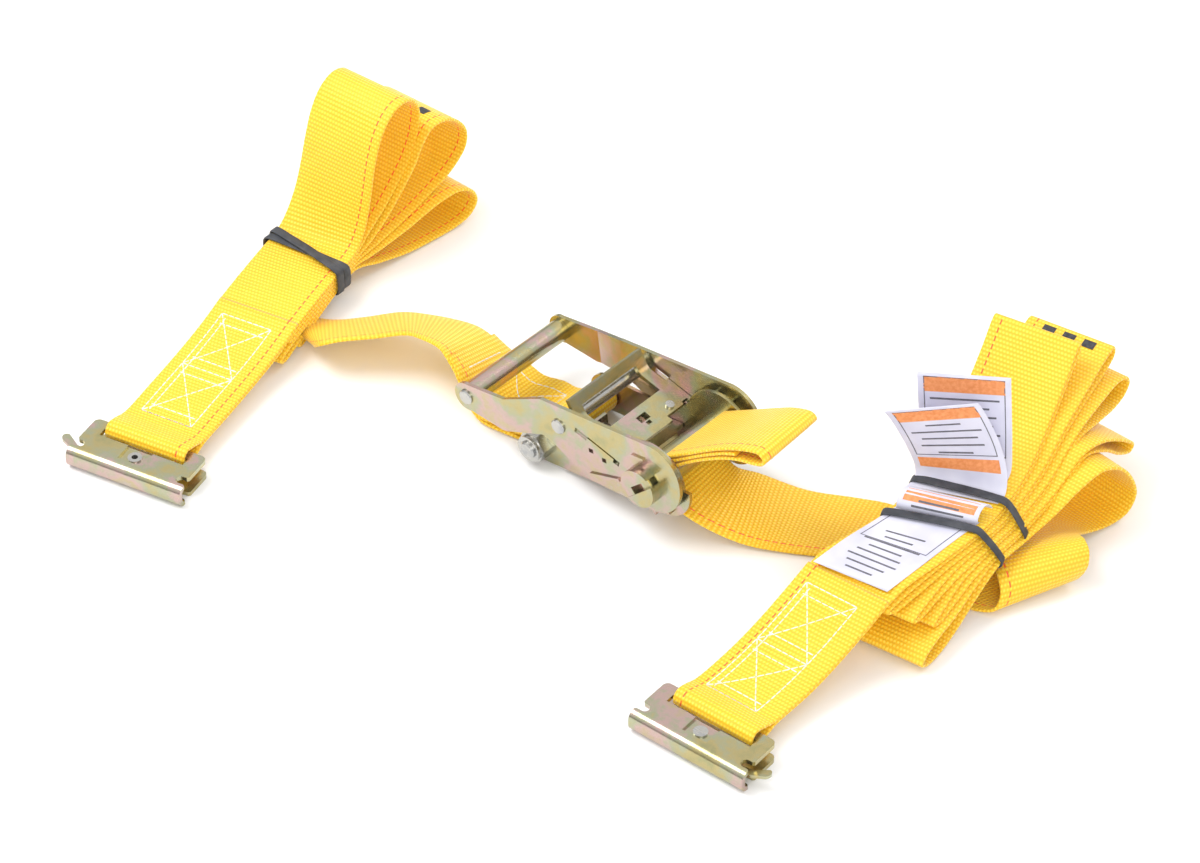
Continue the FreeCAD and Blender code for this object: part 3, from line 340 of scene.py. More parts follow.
def webbing():
    """Plain-woven polyester: raised floats in rows with painted shade in the gaps and painted highlights on
    the float tops, a dashed tracer near one edge.
    """
    s = Shader("webbing_yellow", Roughness=0.42, Specular_IOR_Level=0.55, Sheen_Weight=0.25,
               Sheen_Roughness=0.4)
    row_pitch, column_pitch = 2.3, 1.95
    tracer_inset, tracer_half, dash_pitch, dash_share = 5.2, 0.42, 4.6, 0.62
    attribute = s.node("Attribute", attribute_name="strap")
    parts = s.node("SeparateXYZ")
    s.tree.links.new(attribute.outputs["Vector"], parts.inputs[0])
    u, v = parts.outputs[0], parts.outputs[1]
    row = s.math("MULTIPLY", v, 1 / row_pitch)
    odd = s.math("MULTIPLY", s.math("MODULO", s.math("FLOOR", row), 2.0), 0.5)
    column = s.math("ADD", s.math("MULTIPLY", u, 1 / column_pitch), odd)
    fu = s.math("SUBTRACT", s.math("FRACT", column), 0.5)
    fv = s.math("SUBTRACT", s.math("FRACT", row), 0.5)
    ellipse = s.math("ADD", s.math("MULTIPLY", s.math("MULTIPLY", fu, fu), 3.0),
                     s.math("MULTIPLY", s.math("MULTIPLY", fv, fv), 5.0))
    float_top = s.math("MAXIMUM", s.math("SUBTRACT", 1.0, ellipse), 0.0)
    point = s.object_point()
    cloud = s.noise(point, 28.0, 3.0)
    fibre = s.noise(point, 900.0, 2.0)
    height = s.math("ADD", float_top, s.math("MULTIPLY", fibre, 0.25))
    # Painted light: the darker orange in the gaps between floats is painted shade, and the pale yellow on
    # the float tops is a painted highlight.
    colour = s.ramp(float_top, [(0.0, (0.82, 0.42, 0.004)), (0.35, (0.95, 0.56, 0.008)),
                                (0.75, (1.0, 0.66, 0.02)), (1.0, (1.0, 0.78, 0.12))])
    shade = s.ramp(cloud, [(0.3, (0.96, 0.55, 0.008)), (0.7, (1.0, 0.68, 0.03))])
    body = s.mix(0.30, colour, shade)
    from_tracer = s.math("ABSOLUTE", s.math("SUBTRACT", u, WIDTH - tracer_inset))
    near_line = s.math("LESS_THAN", from_tracer, tracer_half)
    dash = s.math("LESS_THAN", s.math("FRACT", s.math("MULTIPLY", v, 1 / dash_pitch)), dash_share)
    tracer = s.math("MULTIPLY", near_line, dash)
    s.to("Base Color", s.mix(tracer, body, (0.93, 0.13, 0.015)))
    s.to("Roughness", s.math("SUBTRACT", 0.56, s.math("MULTIPLY", float_top, 0.2)))
    s.bump(height, 0.55, 0.0006)
    return s.material


def zinc(name, stops, roughness, scale):
    """Passivated zinc on steel: hue drifts over the surface, fine scratches in the gloss."""
    s = Shader(name, Metallic=0.92, Roughness=roughness)
    point = s.object_point()
    drift = s.noise(point, scale, 2.5, 0.55)
    fine = s.noise(point, scale * 9.0, 4.0, 0.6)
    blend = s.math("ADD", s.math("MULTIPLY", drift, 0.82), s.math("MULTIPLY", fine, 0.18))
    colour = s.ramp(blend, stops)
    s.to("Base Color", colour)
    stretch = s.node("Mapping")
    stretch.inputs["Scale"].default_value = (40.0, 900.0, 700.0)
    s.tree.links.new(point, stretch.inputs["Vector"])
    scratch = s.noise(stretch.outputs[0], 3.0, 3.0)
    s.to("Roughness", s.math("ADD", roughness - 0.08, s.math("MULTIPLY", scratch, 0.18)))
    s.bump(s.math("ADD", fine, s.math("MULTIPLY", scratch, 0.3)), 0.10, 0.0004)
    return s.material


def yellow_zinc():
    """Yellow passivation with green, gold and rose patches."""
    return zinc("yellow_zinc_finish", [
        (0.30, (0.34, 0.35, 0.19)), (0.41, (0.50, 0.42, 0.20)), (0.49, (0.42, 0.43, 0.29)),
        (0.56, (0.56, 0.40, 0.37)), (0.63, (0.51, 0.43, 0.26)), (0.72, (0.50, 0.42, 0.46))],
        roughness=0.22, scale=34.0)


def bright_zinc():
    """Clear passivation on pins, bolts and rivets."""
    return zinc("bright_zinc_finish", [
        (0.30, (0.38, 0.39, 0.40)), (0.50, (0.52, 0.51, 0.48)), (0.70, (0.46, 0.44, 0.39))],
        roughness=0.24, scale=120.0)


def spring_steel():
    """Bare spring wire."""
    return zinc("spring_steel_finish", [(0.3, (0.30, 0.29, 0.27)), (0.7, (0.46, 0.44, 0.40))],
                roughness=0.32, scale=150.0)


def rubber():
    """Matt dark grey rubber with a fine grain."""
    s = Shader("rubber_grey", Roughness=0.62, Specular_IOR_Level=0.4)
    point = s.object_point()
    s.to("Base Color", s.ramp(s.noise(point, 160.0, 3.0), [
        (0.3, (0.035, 0.038, 0.046)), (0.7, (0.075, 0.08, 0.092))]))
    s.bump(s.noise(point, 700.0, 2.0), 0.25, 0.0003)
    return s.material


def label_cloth():
    """White satin ribbon with a fine diagonal weave."""
    s = Shader("label_satin", Roughness=0.42, Specular_IOR_Level=0.5, Sheen_Weight=0.3)
    point = s.object_point()
    tone = s.ramp(s.noise(point, 60.0, 2.0), [(0.3, (0.60, 0.60, 0.74)), (0.7, (0.72, 0.72, 0.84))])
    s.to("Base Color", tone)
    weave = s.node("TexWave", wave_type="BANDS", bands_direction="DIAGONAL")
    weave.inputs["Scale"].default_value = 700.0
    s.tree.links.new(point, weave.inputs["Vector"])
    s.bump(weave.outputs["Fac"], 0.15, 0.0002)
    return s.material


def ink(name, low, high):
    """Flat print or dyed yarn with a slight mottle."""
    s = Shader(name, Roughness=0.5)
    s.to("Base Color", s.ramp(s.noise(s.object_point(), 500.0, 2.0), [(0.3, low), (0.7, high)]))
    return s.material


def thread():
    """Off-white sewing thread."""
    s = Shader("thread_white", Roughness=0.5, Sheen_Weight=0.3)
    point = s.object_point()
    s.to("Base Color", s.ramp(s.noise(point, 300.0, 2.0), [
        (0.3, (0.72, 0.68, 0.55)), (0.7, (0.95, 0.93, 0.86))]))
    s.bump(s.noise(point, 1500.0, 2.0), 0.3, 0.0003)
    return s.material


WEBBING, YELLOW, BRIGHT, STEEL = webbing(), yellow_zinc(), bright_zinc(), spring_steel()
RUBBER, CLOTH_WHITE, THREAD = rubber(), label_cloth(), thread()
INK_DARK = ink("ink_grey", (0.10, 0.10, 0.12), (0.16, 0.16, 0.19))
INK_ORANGE = ink("ink_orange", (0.74, 0.24, 0.07), (0.86, 0.34, 0.13))
WOVEN_BLACK = ink("woven_black", (0.018, 0.018, 0.022), (0.06, 0.06, 0.07))

SLOT_LOOKS = {"yellow_zinc": YELLOW, "bright_zinc": BRIGHT, "spring_steel": STEEL, "webbing": WEBBING,
              "rubber_band": RUBBER, "label": CLOTH_WHITE}


def finish_cad_nodes():
    """Give every carried-over node the finish of its slot."""
    for node in nodes.values():
        for slot in node.material_slots:
            found = [m for s, m in SLOT_LOOKS.items() if slot.material and s in slot.material.name]
            if found:
                slot.material = found[0]


# ---------------------------------------------------------------- plan helpers

def aim(yaw):
    """Unit vectors along a strap that points yaw degrees from +Y towards -X, and to its right."""
    a = math.radians(yaw)
    return Vector((-math.sin(a), math.cos(a), 0)), Vector((math.cos(a), math.sin(a), 0))


def from_right(point, yaw):
    """Level station whose right edge is at the point."""
    right = Vector(point)
    return right - aim(yaw)[1] * WIDTH, right


def centred(point, yaw):
    """Level station whose middle is at the point."""
    middle = Vector(point)
    side = aim(yaw)[1] * (WIDTH / 2)
    return middle - side, middle + side


BAR_Y, BAR_Z, RING = 26.65, 11.15, 4.4
FITTINGS = {"left": ((-155.0, -197.5), 13.5), "right": ((193.5, -157.0), 3.0)}


def fitting_point(side, y, z):
    """Point on a fitting's midline, y ahead of its rear bar and z above the ground."""
    nose, yaw = FITTINGS[side]
    ahead = aim(yaw)[0]
    return Vector((nose[0], nose[1], 0)) + ahead * (BAR_Y + y) + Vector((0, 0, z))


def bar_turn(side):
    """Stations around the fitting's rear bar: over it, down the slot and out between the plates."""
    yaw = FITTINGS[side][1]
    made = []
    for angle in (75, 100, 125, 150, 180, 210, 235, 260, 285):
        a = math.radians(angle)
        made.append(centred(fitting_point(side, RING * math.cos(a), BAR_Z + RING * math.sin(a)), yaw))
    return made


# ---------------------------------------------------------------- short strap

LEFT_START, LEFT_YAW = Vector((-158.5, -178.0, 0)), 14.5
LEFT_BAND = 181.0
LOOP_TWO_TIP = (-221.5, 77.0, 70.0)


def hank(u, z):
    """Station in the flat bundle, u along it and z above the ground."""
    return centred(LEFT_START + aim(LEFT_YAW)[0] * u + Vector((0, 0, z)), LEFT_YAW)


def loop_stations(heading, final_yaw, profile):
    """Standing loop beyond the band, set by its right edge: (distance, height) pairs."""
    turned_by = 22.0
    base = LEFT_START + aim(LEFT_YAW)[0] * LEFT_BAND + aim(LEFT_YAW)[1] * (WIDTH / 2)
    made = []
    for s, z in profile:
        share = min(1.0, s / turned_by)
        share = share * share * (3 - 2 * share)
        yaw = LEFT_YAW + (final_yaw - LEFT_YAW) * share
        made.append(from_right(base + aim(heading)[0] * s + Vector((0, 0, z)), yaw))
    return made


def short_strap_route():
    """From the sewn end at the fitting, through three standing loops, to the ratchet's bolt."""
    yaw = FITTINGS["left"][1]
    ends = [(111, 19.6), (93, 16.0), (70, 13.4), (40, 11.9), (14, 11.4), (6, 14.0)]
    route = [centred(fitting_point("left", y, z), yaw) for y, z in ends]
    route += bar_turn("left")
    back = [(8, 7.4), (14, 9.1), (40, 9.8), (70, 11.3), (93, 13.8)]
    route += [centred(fitting_point("left", y, z), yaw) for y, z in back]
    route += [hank(118, 17.4), hank(135, 19.2), hank(158, 20.6)]
    route += loop_stations(6.0, 4.0, [
        (0, 21.9), (6, 27), (12, 39), (16, 53), (20, 69), (26, 83), (34, 92), (44, 95.5), (54, 92.5),
        (60, 83), (58.5, 70), (51.5, 57), (40.5, 46.5), (27, 36.5), (13, 28.5), (0, 19.8)])
    route += [hank(158, 18.4), hank(132, 16.4), hank(118, 14.9), hank(111.5, 13.6), hank(110.3, 12.5),
              hank(112, 11.5), hank(128, 13.4), hank(155, 16.2)]
    route += loop_stations(1.0, 3.0, [
        (0, 17.7), (12, 22.4), (26, 31.2), (40, 43.5), (50, 54), (57, 64.5), (65, 70.5), (75, 69.5),
        (85, 63), (91.5, 53), (90.5, 43), (80, 34), (61, 27), (40, 21.6), (20, 18.2), (0, 15.5)])
    route += [hank(155, 14.0), hank(130, 10.9), hank(112, 9.2), hank(103.5, 7.6), hank(100.6, 5.4),
              hank(103.5, 3.4), hank(112, 4.4), hank(122, 6.6), hank(134, 8.8), hank(155, 11.8)]
    route += loop_stations(-5.5, 0.0, [
        (0, 13.3), (10, 14.2), (23, 16.0), (40, 19.2), (54, 23.0), (66, 25.2), (77, 24.8), (86, 19),
        (88.5, 11.5), (84, 5), (74, 2), (58, 1.6), (38, 2.6), (18, 6.6), (0, 11.0)])
    route += [hank(155, 9.5), hank(140, 7.2), hank(128, 4.9), hank(121.4, 3.9), hank(119.6, 2.7),
              hank(121.6, 1.5)]
    route += run_to_ratchet()
    return route


def run_to_ratchet():
    """Out from under the bundle standing on its far edge, over a hump and down to the bolt's eye."""
    route = [((-214.0, -60.2, 1.2), (-167.1, -48.0, 1.3)), ((-203.0, -47.0, 1.0), (-159.0, -53.0, 5.0)),
             ((-190.0, -38.5, 1.1), (-150.0, -60.0, 13.0)), ((-175.0, -32.5, 1.4), (-141.5, -63.0, 20.4)),
             ((-165.0, -27.0, 2.2), (-133.0, -57.5, 24.4)), ((-154.0, -17.0, 4.0), (-120.0, -46.0, 26.4)),
             ((-137.5, -4.0, 8.4), (-105.5, -35.0, 30.0)), ((-120.0, 2.5, 11.4), (-95.0, -34.2, 32.2)),
             ((-106.0, 6.4, 13.2), (-87.0, -33.8, 32.8)), ((-95.0, 9.2, 13.2), (-82.0, -33.5, 31.6)),
             ((-86.0, 10.2, 11.0), (-77.6, -33.8, 28.4)), ((-76.0, 11.0, 6.4), (-70.6, -34.5, 21.4)),
             ((-62.0, 11.4, 2.6), (-62.0, -36.0, 8.8)), ((-50.0, 11.4, 1.4), (-51.0, -37.5, 2.0)),
             ((-37.3, 12.8, 1.4), (-37.3, -35.6, 1.4))]
    bolt_x, bolt_z, ring = -9.82, 11.33, 8.2
    middle = -9.3
    near, far = middle - WIDTH / 2, middle + WIDTH / 2
    route.append(((-25.0, far, 1.5), (-25.0, near, 1.5)))
    for angle in (-98, -70, -40, -10, 20, 50, 80, 110, 138):
        a = math.radians(angle)
        x, z = bolt_x + ring * math.cos(a), bolt_z + ring * math.sin(a)
        route.append(((x, far, z), (x, near, z)))
    route += [((-22.5, far, 7.4), (-22.5, near, 7.4)), ((-29.5, far, 3.9), (-29.5, near, 3.9)),
              ((-38.0, far + 1.0, 3.6), (-38.0, near - 1.2, 3.6)),
              ((-49.4, 11.4, 3.8), (-50.2, -37.5, 4.4)), ((-60.8, 11.4, 5.2), (-60.6, -36.0, 11.0)),
              ((-74.8, 11.0, 8.6), (-69.0, -34.5, 23.4)), ((-85.0, 10.2, 13.4), (-76.0, -33.8, 30.6))]
    return route


# ---------------------------------------------------------------- long strap

def pair(left, right):
    """Station from its two edges."""
    return Vector(left), Vector(right)


# Right edge (x, y, z) and yaw of the folded strap: five loops, each out, round and back.
FOLDS_RIGHT = (
    (219.0, -20, 36.0, 8), (221.4, 6, 37.3, 15), (223.0, 33.5, 38.6, 23), (221.0, 58, 39.8, 20),
    (216.8, 84, 47.6, 15), (210.4, 109, 61.6, 12), (205.4, 128, 74.6, 11.5), (202.6, 137.6, 81.6, 11.5),
    (201.8, 141.0, 82.8, 11.5), (201.9, 141.6, 79.8, 11.5), (205.8, 127.6, 70.6, 11.5),
    (211.2, 109, 58.8, 12),
    (217.6, 84, 45.0, 15), (221.6, 58, 37.5, 20), (223.4, 33.5, 36.6, 23), (221.8, 6, 35.0, 15),
    (220.4, -16, 32.6, 8), (219.8, -28, 30.6, 6), (219.6, -33.5, 28.8, 6), (220.6, -30, 27.4, 6),
    # second loop
    (222.6, -12, 29.8, 8), (223.8, 8, 32.5, 15), (225.5, 34, 34.65, 22), (223.8, 60, 35.3, 19),
    (221.6, 86, 43.6, 13), (218.2, 110, 56.4, 11), (213.6, 135, 65.0, 10), (210.0, 154, 70.2, 10),
    (208.4, 162.6, 70.6, 10), (208.5, 163.2, 66.2, 10), (211.0, 152.6, 62.6, 10), (214.4, 134, 59.0, 10),
    (219.0, 110, 53.6, 11), (222.4, 86, 41.0, 13), (224.4, 60, 33.2, 19), (226.2, 34, 32.7, 22),
    (226.0, 8, 29.9, 14), (227.4, -10, 26.6, 9), (228.6, -21, 24.4, 8), (229.2, -25, 22.8, 8),
    (229.6, -21, 21.6, 8),
    # third loop
    (228.8, -6, 24.2, 10), (228.6, 12, 28.2, 15), (229.0, 35, 30.75, 21), (227.4, 60, 31.2, 17),
    (226.0, 88, 39.4, 11), (223.4, 112, 51.6, 8), (220.2, 138, 57.0, 5), (218.4, 154, 58.4, 4),
    (217.8, 162.6, 55.6, 4), (217.6, 165.4, 50.6, 4), (217.9, 162.0, 45.6, 4), (219.4, 152, 44.0, 4),
    (221.8, 136, 46.6, 5), (224.4, 112, 48.8, 8), (226.8, 88, 36.8, 11), (228.0, 60, 29.1, 17),
    (229.8, 35, 28.8, 21), (230.4, 12, 25.4, 14), (232.2, -3, 20.6, 10), (233.8, -11.5, 18.4, 9),
    (234.6, -15, 16.8, 9), (234.8, -11, 15.6, 9),
    # fourth loop
    (233.6, 3, 19.2, 11), (232.6, 18, 23.8, 15), (232.0, 36, 26.85, 19), (230.6, 60, 27.1, 15),
    (231.0, 88, 35.6, 8), (231.8, 108, 47.2, 4), (232.6, 124, 45.6, 2), (233.0, 138, 38.0, 1),
    (233.0, 148.4, 29.8, 0), (232.8, 151.8, 25.8, 0), (232.6, 149.8, 22.8, 0), (232.5, 140.6, 26.8, 0),
    (232.5, 127.6, 37.2, 1), (232.0, 109.6, 44.6, 4), (231.6, 88, 33.0, 8), (231.2, 60, 25.0, 15),
    (232.8, 36, 24.9, 19), (234.6, 18, 20.4, 15), (237.0, 0, 15.2, 11), (239.4, -18, 12.6, 8),
    (240.8, -28, 10.0, 8), (241.4, -32, 6.4, 8), (241.0, -28, 2.8, 8), (239.8, -17, 1.8, 8),
    # the big open loop that the others lie on
    (237.6, 0, 5.4, 10), (236.0, 18, 14.2, 14), (235.0, 37, 22.6, 18), (234.0, 60, 22.2, 13),
    (236.4, 80, 27.4, 6), (240.6, 96, 37.8, 0), (244.0, 109, 42.4, -3), (246.6, 121, 37.4, -5),
    (248.6, 130, 25.0, -6), (249.4, 132.8, 13.4, -6), (248.4, 128, 4.4, -6), (246.0, 116, 2.2, -5))
LOOP_B_TIP = (184.5, 158.6, 70.6)


def long_strap_route():
    """From the sewn end at the fitting, up over the fan of folds, and off to the spindle."""
    yaw = FITTINGS["right"][1]
    bar = -130.4
    lead_up = [(96, 35.2, 194.5, 4), (80, 27.2, 193.4, 3.6), (60, 19.0, 192.4, 3.4), (40, 13.8, 191.8, 3.2)]
    route = []
    for y, z, x, lead_yaw in lead_up:
        route.append(centred((x, bar + y, z), lead_yaw))
    route += [centred(fitting_point("right", y, z), yaw) for y, z in [(14, 11.4), (6, 14.0)]]
    route += bar_turn("right")
    route += [centred(fitting_point("right", y, z), yaw) for y, z in [(8, 7.4), (14, 9.1)]]
    for y, z, x, lead_yaw in reversed(lead_up):
        route.append(centred((x, bar + y, z - 2.1), lead_yaw))
    route += [from_right((x, y, z), fold_yaw) for x, y, z, fold_yaw in FOLDS_RIGHT]
    route += turn_and_run()
    return route


def turn_and_run():
    """Wide diagonal turn beside the bundle, then flat under it and up to the spindle."""
    return [pair((196.0, 104.0, 3.2), (243.0, 102.0, 5.6)), pair((198.0, 84.0, 5.4), (245.0, 92.0, 12.0)),
            pair((207.0, 64.0, 7.4), (250.4, 84.0, 19.0)), pair((222.0, 47.0, 12.0), (256.6, 78.6, 23.4)),
            pair((234.6, 37.4, 14.6), (261.0, 75.0, 20.0)), pair((241.4, 30.4, 11.0), (262.4, 73.4, 11.8)),
            pair((241.0, 22.8, 4.4), (259.0, 72.8, 4.0)), pair((232.6, 17.0, 1.2), (249.6, 72.0, 1.2)),
            pair((214.0, 12.0, 1.1), (229.0, 69.0, 1.1)), pair((190.0, 9.0, 1.1), (200.0, 65.0, 1.1)),
            pair((166.0, 6.0, 1.1), (152.0, 58.0, 1.1)), pair((152.0, -1.0, 1.2), (135.0, 50.0, 1.2)),
            pair((132.0, -11.0, 1.8), (113.0, 34.0, 2.4)), pair((113.0, -21.0, 4.4), (93.0, 21.0, 9.4)),
            pair((90.0, -32.0, 13.2), (80.0, 15.6, 11.6)), pair((76.0, -33.4, 18.2), (72.0, 15.0, 16.4)),
            pair((67.6, -33.5, 20.6), (66.6, 15.0, 20.4)), pair((61.6, -33.5, 22.0), (61.4, 15.0, 22.0)),
            pair((59.4, -33.5, 23.6), (59.4, 15.0, 23.6)), pair((61.0, -33.5, 25.0), (61.0, 15.0, 25.0))]


HUB = Vector((67.6, -9.3, 31.0))
SLOT = math.radians(44.0)


def core_route():
    """Short run of webbing held in the spindle's slot."""
    along = Vector((math.cos(SLOT), 0, math.sin(SLOT)))
    side = Vector((0, WIDTH / 2, 0))
    return [(HUB + along * d - side, HUB + along * d + side) for d in (-8.6, -3.0, 3.0, 8.6)]


TAIL = (
    ((73.6, 37.6), (73.6, 37.6)), ((79.0, 43.0), (78.6, 42.0)), ((88.0, 51.0), (86.4, 47.6)),
    ((100.0, 60.0), (98.0, 55.2)), ((112.0, 67.6), (109.0, 61.8)), ((122.0, 72.2), (117.5, 66.6)),
    ((130.6, 74.6), (126.0, 70.4)), ((136.0, 77.2), (131.0, 73.2)), ((137.4, 80.2), (131.8, 75.6)),
    ((134.2, 83.0), (128.6, 77.0)), ((124.0, 80.0), (118.6, 73.6)), ((112.0, 73.8), (109.0, 68.0)),
    ((100.0, 65.8), (98.0, 61.0)), ((88.0, 56.8), (86.0, 53.4)), ((78.0, 49.4), (77.4, 48.0)),
    ((72.6, 45.2), (72.6, 44.8)), ((72.2, 43.2), (72.4, 42.8)), ((77.6, 46.0), (77.4, 44.9)),
    ((88.0, 53.9), (86.2, 50.5)), ((100.0, 62.9), (98.0, 58.1)), ((112.0, 70.7), (109.0, 64.9)),
    ((119.0, 74.2), (114.6, 68.4)))
TAIL_TOP_END = (131.4, -9.3, 80.0)


def tail_route():
    """Out of the spindle's slot to a tight fold, back on top and once more out between the two."""
    near_y, far_y = -33.5, 15.0
    return [pair((near[0], near_y, near[1]), (far[0], far_y, far[1])) for near, far in TAIL]


def strap(name, route, replaced, body=ROOT, mirror=False):
    """Webbing along a route, in place of the simple solids that hold its room."""
    ribbon = Ribbon(route)
    obj = strap_mesh(name, ribbon, WEBBING, mirror=mirror)
    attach(obj, body)
    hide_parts(*replaced)
    return ribbon


def add_detail(obj):
    """Let sewing or print move with the ratchet's frame."""
    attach(obj, ROOT)


def box_x(u0, u1, v0, v1, rungs):
    """Sewn box with crossing diagonals."""
    lines = [[(u0, v0), (u1, v0), (u1, v1), (u0, v1), (u0, v0)]]
    for k in range(rungs):
        a, b = v0 + (v1 - v0) * k / rungs, v0 + (v1 - v0) * (k + 1) / rungs
        lines += [[(u0, a), (u1, b)], [(u1, a), (u0, b)], [(u0, b), (u1, b)]]
    return lines


def ladder(v0, v1):
    """Sewing of a fitting loop: two crossed boxes, doubled rungs and a second side seam."""
    lines = box_x(7.0, 37.5, v0, v1, 2)
    for share in (0.08, 0.42, 0.58, 0.92):
        v = v0 + (v1 - v0) * share
        lines.append([(9.0, v), (36.5, v)])
    lines.append([(10.5, v0 + 2.0), (10.5, v1 - 2.0)])
    return lines


def build_short_strap():
    """Fixed-end strap with its sewing and woven marks."""
    replaced = ["short_strap_" + part for part in (
        "lead", "folds", "loop_top", "loop_middle", "loop_low", "run", "eye")]
    ribbon = strap("short_strap", short_strap_route(), replaced)
    lift = STRAP / 2
    add_detail(stitches("short_strap_stitching", ribbon, ladder(10.0, 92.0), THREAD, -lift))
    tip = ribbon.nearest(LOOP_TWO_TIP)
    marks = [(u, u + 6.5, tip - 7.0, tip - 1.0) for u in (8.0, 20.0, 31.0)]
    add_detail(patch_mesh("short_strap_marks", ribbon, marks, lift + 0.3, WOVEN_BLACK))
    end = ribbon.length
    rows = box_x(9.0, 39.5, end - 58.0, end - 22.0, 1)
    rows += [[(9.0, end - 16.0), (39.0, end - 16.0)], [(9.0, end - 10.5), (39.0, end - 10.5)]]
    add_detail(stitches("short_strap_eye_stitching", ribbon, rows, THREAD, -lift))


def build_long_strap():
    """Ratchet-end strap, its piece in the spindle and its folded tail, with sewing and marks."""
    replaced = ["long_strap_" + part for part in (
        "lead", "folds_low", "folds_high", "loop_top", "loop_middle", "loop_low", "turn", "run")]
    ribbon = strap("long_strap", long_strap_route(), replaced, mirror=True)
    lift = STRAP / 2
    add_detail(stitches("long_strap_stitching", ribbon, ladder(10.0, 88.0), THREAD, -lift))
    tip = ribbon.nearest(LOOP_B_TIP)
    marks = [(u, u + 6.8, tip - 8.0, tip - 3.0) for u in (10.0, 21.5, 33.0)]
    add_detail(patch_mesh("long_strap_marks", ribbon, marks, lift + 0.3, WOVEN_BLACK))
    strap("long_strap_core_webbing", core_route(), ["long_strap_core"], "spindle")
    tail_ribbon = strap("long_strap_tail_end", tail_route(), ["long_strap_tail"], mirror=True)
    top = tail_ribbon.nearest(TAIL_TOP_END)
    rows = box_x(7.0, 40.0, top - 44.0, top - 14.0, 1)
    rows += [[(6.0, top - v), (42.0, top - v)] for v in (6.0, 10.0, 50.0)]
    add_detail(stitches("tail_stitching", tail_ribbon, rows, THREAD, lift))


# ---------------------------------------------------------------- bands

BAND_WIDTH, BAND_THICK = 5.2, 1.0


def band(name, replaced, strands):
    """Rubber band around a bundle; a strand is its outline and the direction of the strap."""
    for k, (points, along) in enumerate(strands):
        half = along * (BAND_WIDTH / 2)
        ribbon = Ribbon([(p - half, p + half) for p in points], BAND_WIDTH, turn=12.0)
        obj = strap_mesh("%s_strand_%d" % (name, k + 1), ribbon, RUBBER, BAND_THICK, 0.5)
        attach(obj, ROOT)
        if k == 0:
            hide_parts(replaced)


def ring(centre, yaw, half, low, high, skew, rise):
    """Rounded box around a bundle; skew slides its two sides along the strap in opposite ways."""
    ahead, right = aim(yaw)
    soft = 3.0
    cut = soft * 0.3
    corners = [(-half, low + soft, -1), (-half, high - soft, -1), (-half + cut, high - cut, -0.95),
               (-half + soft, high, -0.85), (-half * 0.45, high + rise * 0.6, -0.4),
               (0.0, high + rise, 0.0), (half * 0.45, high + rise * 0.6, 0.4),
               (half - soft, high, 0.85), (half - cut, high - cut, 0.95), (half, high - soft, 1),
               (half, low + soft, 1), (half - cut, low + cut, 0.95), (half - soft, low, 0.85),
               (0.0, low, 0.0), (-half + soft, low, -0.85), (-half + cut, low + cut, -0.95),
               (-half, low + soft, -1)]
    middle = Vector((*centre, 0))
    return [middle + right * x + ahead * (skew * share) + Vector((0, 0, z))
            for x, z, share in corners], ahead


# Outline (across, height) of a band around the fanned edges of the long strap's stack.
FRONT_BAND = ((-1.6, 33.0), (-1.8, 37.6), (-0.6, 40.2), (3, 41.0), (15, 41.4), (30, 41.6), (42, 41.2),
              (48, 40.4), (51.5, 37.2), (55.5, 32.8), (59.5, 27.6), (61.8, 23.6), (60.6, 21.0), (50, 20.4),
              (30, 20.2), (14, 20.4), (9.5, 21.8), (6, 26.0), (1.6, 30.4), (-1.6, 33.0))
REAR_BAND = ((-1.6, 35.0), (-1.8, 39.0), (-0.6, 42.2), (3, 43.0), (15, 43.4), (30, 43.6), (42, 43.2),
             (48, 42.4), (52, 38.6), (55.5, 33.0), (58.6, 27.6), (60.4, 23.4), (59.4, 20.8), (48, 20.0),
             (30, 19.8), (16, 20.0), (12, 21.6), (8, 26.0), (2.4, 31.0), (-1.6, 35.0))


def slanted(x, y, yaw, outline):
    """Outline of a band set upright across the strap at a point."""
    ahead, right = aim(yaw)
    return [Vector((x, y, 0)) + right * across + Vector((0, 0, z)) for across, z in outline], ahead


def build_bands():
    """One doubled band on the left bundle and two single ones on the right bundle."""
    centre = (-201.1, -13.2)
    band("band_left", "band_left", [ring(centre, 2.5, 26.6, 8.6, 23.0, 3.0, 0.4),
                                    ring(centre, 2.5, 27.2, 8.2, 24.0, -3.0, 1.0)])
    band("band_right_front", "band_right_front", [slanted(178.7, 13.8, 24.0, FRONT_BAND)])
    band("band_right_rear", "band_right_rear", [slanted(175.4, 41.4, 20.0, REAR_BAND)])


# ---------------------------------------------------------------- labels

def outlines(boxes):
    """Four thin lines around each box."""
    line = 0.5
    made = []
    for u0, u1, v0, v1 in boxes:
        made += [(u0, u1, v0, v0 + line), (u0, u1, v1 - line, v1),
                 (u0, u0 + line, v0, v1), (u1 - line, u1, v0, v1)]
    return made


def tag(name, replaced, route, width, header, rules, boxes):
    """Label leaf with a plain header band, rules and boxes, and no lettering."""
    ribbon = Ribbon([pair(a, b) for a, b in route], width, 6.0, 3.0)
    obj = strap_mesh(name, ribbon, CLOTH_WHITE, CLOTH, 0.3)
    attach(obj, ROOT)
    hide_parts(replaced)
    lift = CLOTH / 2 + 0.08

    def from_end(area):
        """Negative distances along the cloth count back from its free end."""
        u0, u1, v0, v1 = area
        back = ribbon.length if v0 < 0 else 0.0
        return u0, u1, v0 + back, v1 + back
    if header:
        orange = [from_end(area) for area in header]
        add_detail(patch_mesh(name + "_header", ribbon, orange, lift, INK_ORANGE))
    dark = [from_end(area) for area in rules] + outlines([from_end(area) for area in boxes])
    add_detail(patch_mesh(name + "_print", ribbon, dark, lift, INK_DARK))


def rule_rows(v0, v1, count, lengths, width):
    """Centred grey rules of varied length."""
    thick, margin = 1.1, 12.0
    rows = []
    for k in range(count):
        v = v0 + (v1 - v0) * k / max(1, count - 1)
        share = lengths[k % len(lengths)]
        half = share * (width - margin) / 2
        rows.append((width / 2 - half, width / 2 + half, v - thick / 2, v + thick / 2))
    return rows


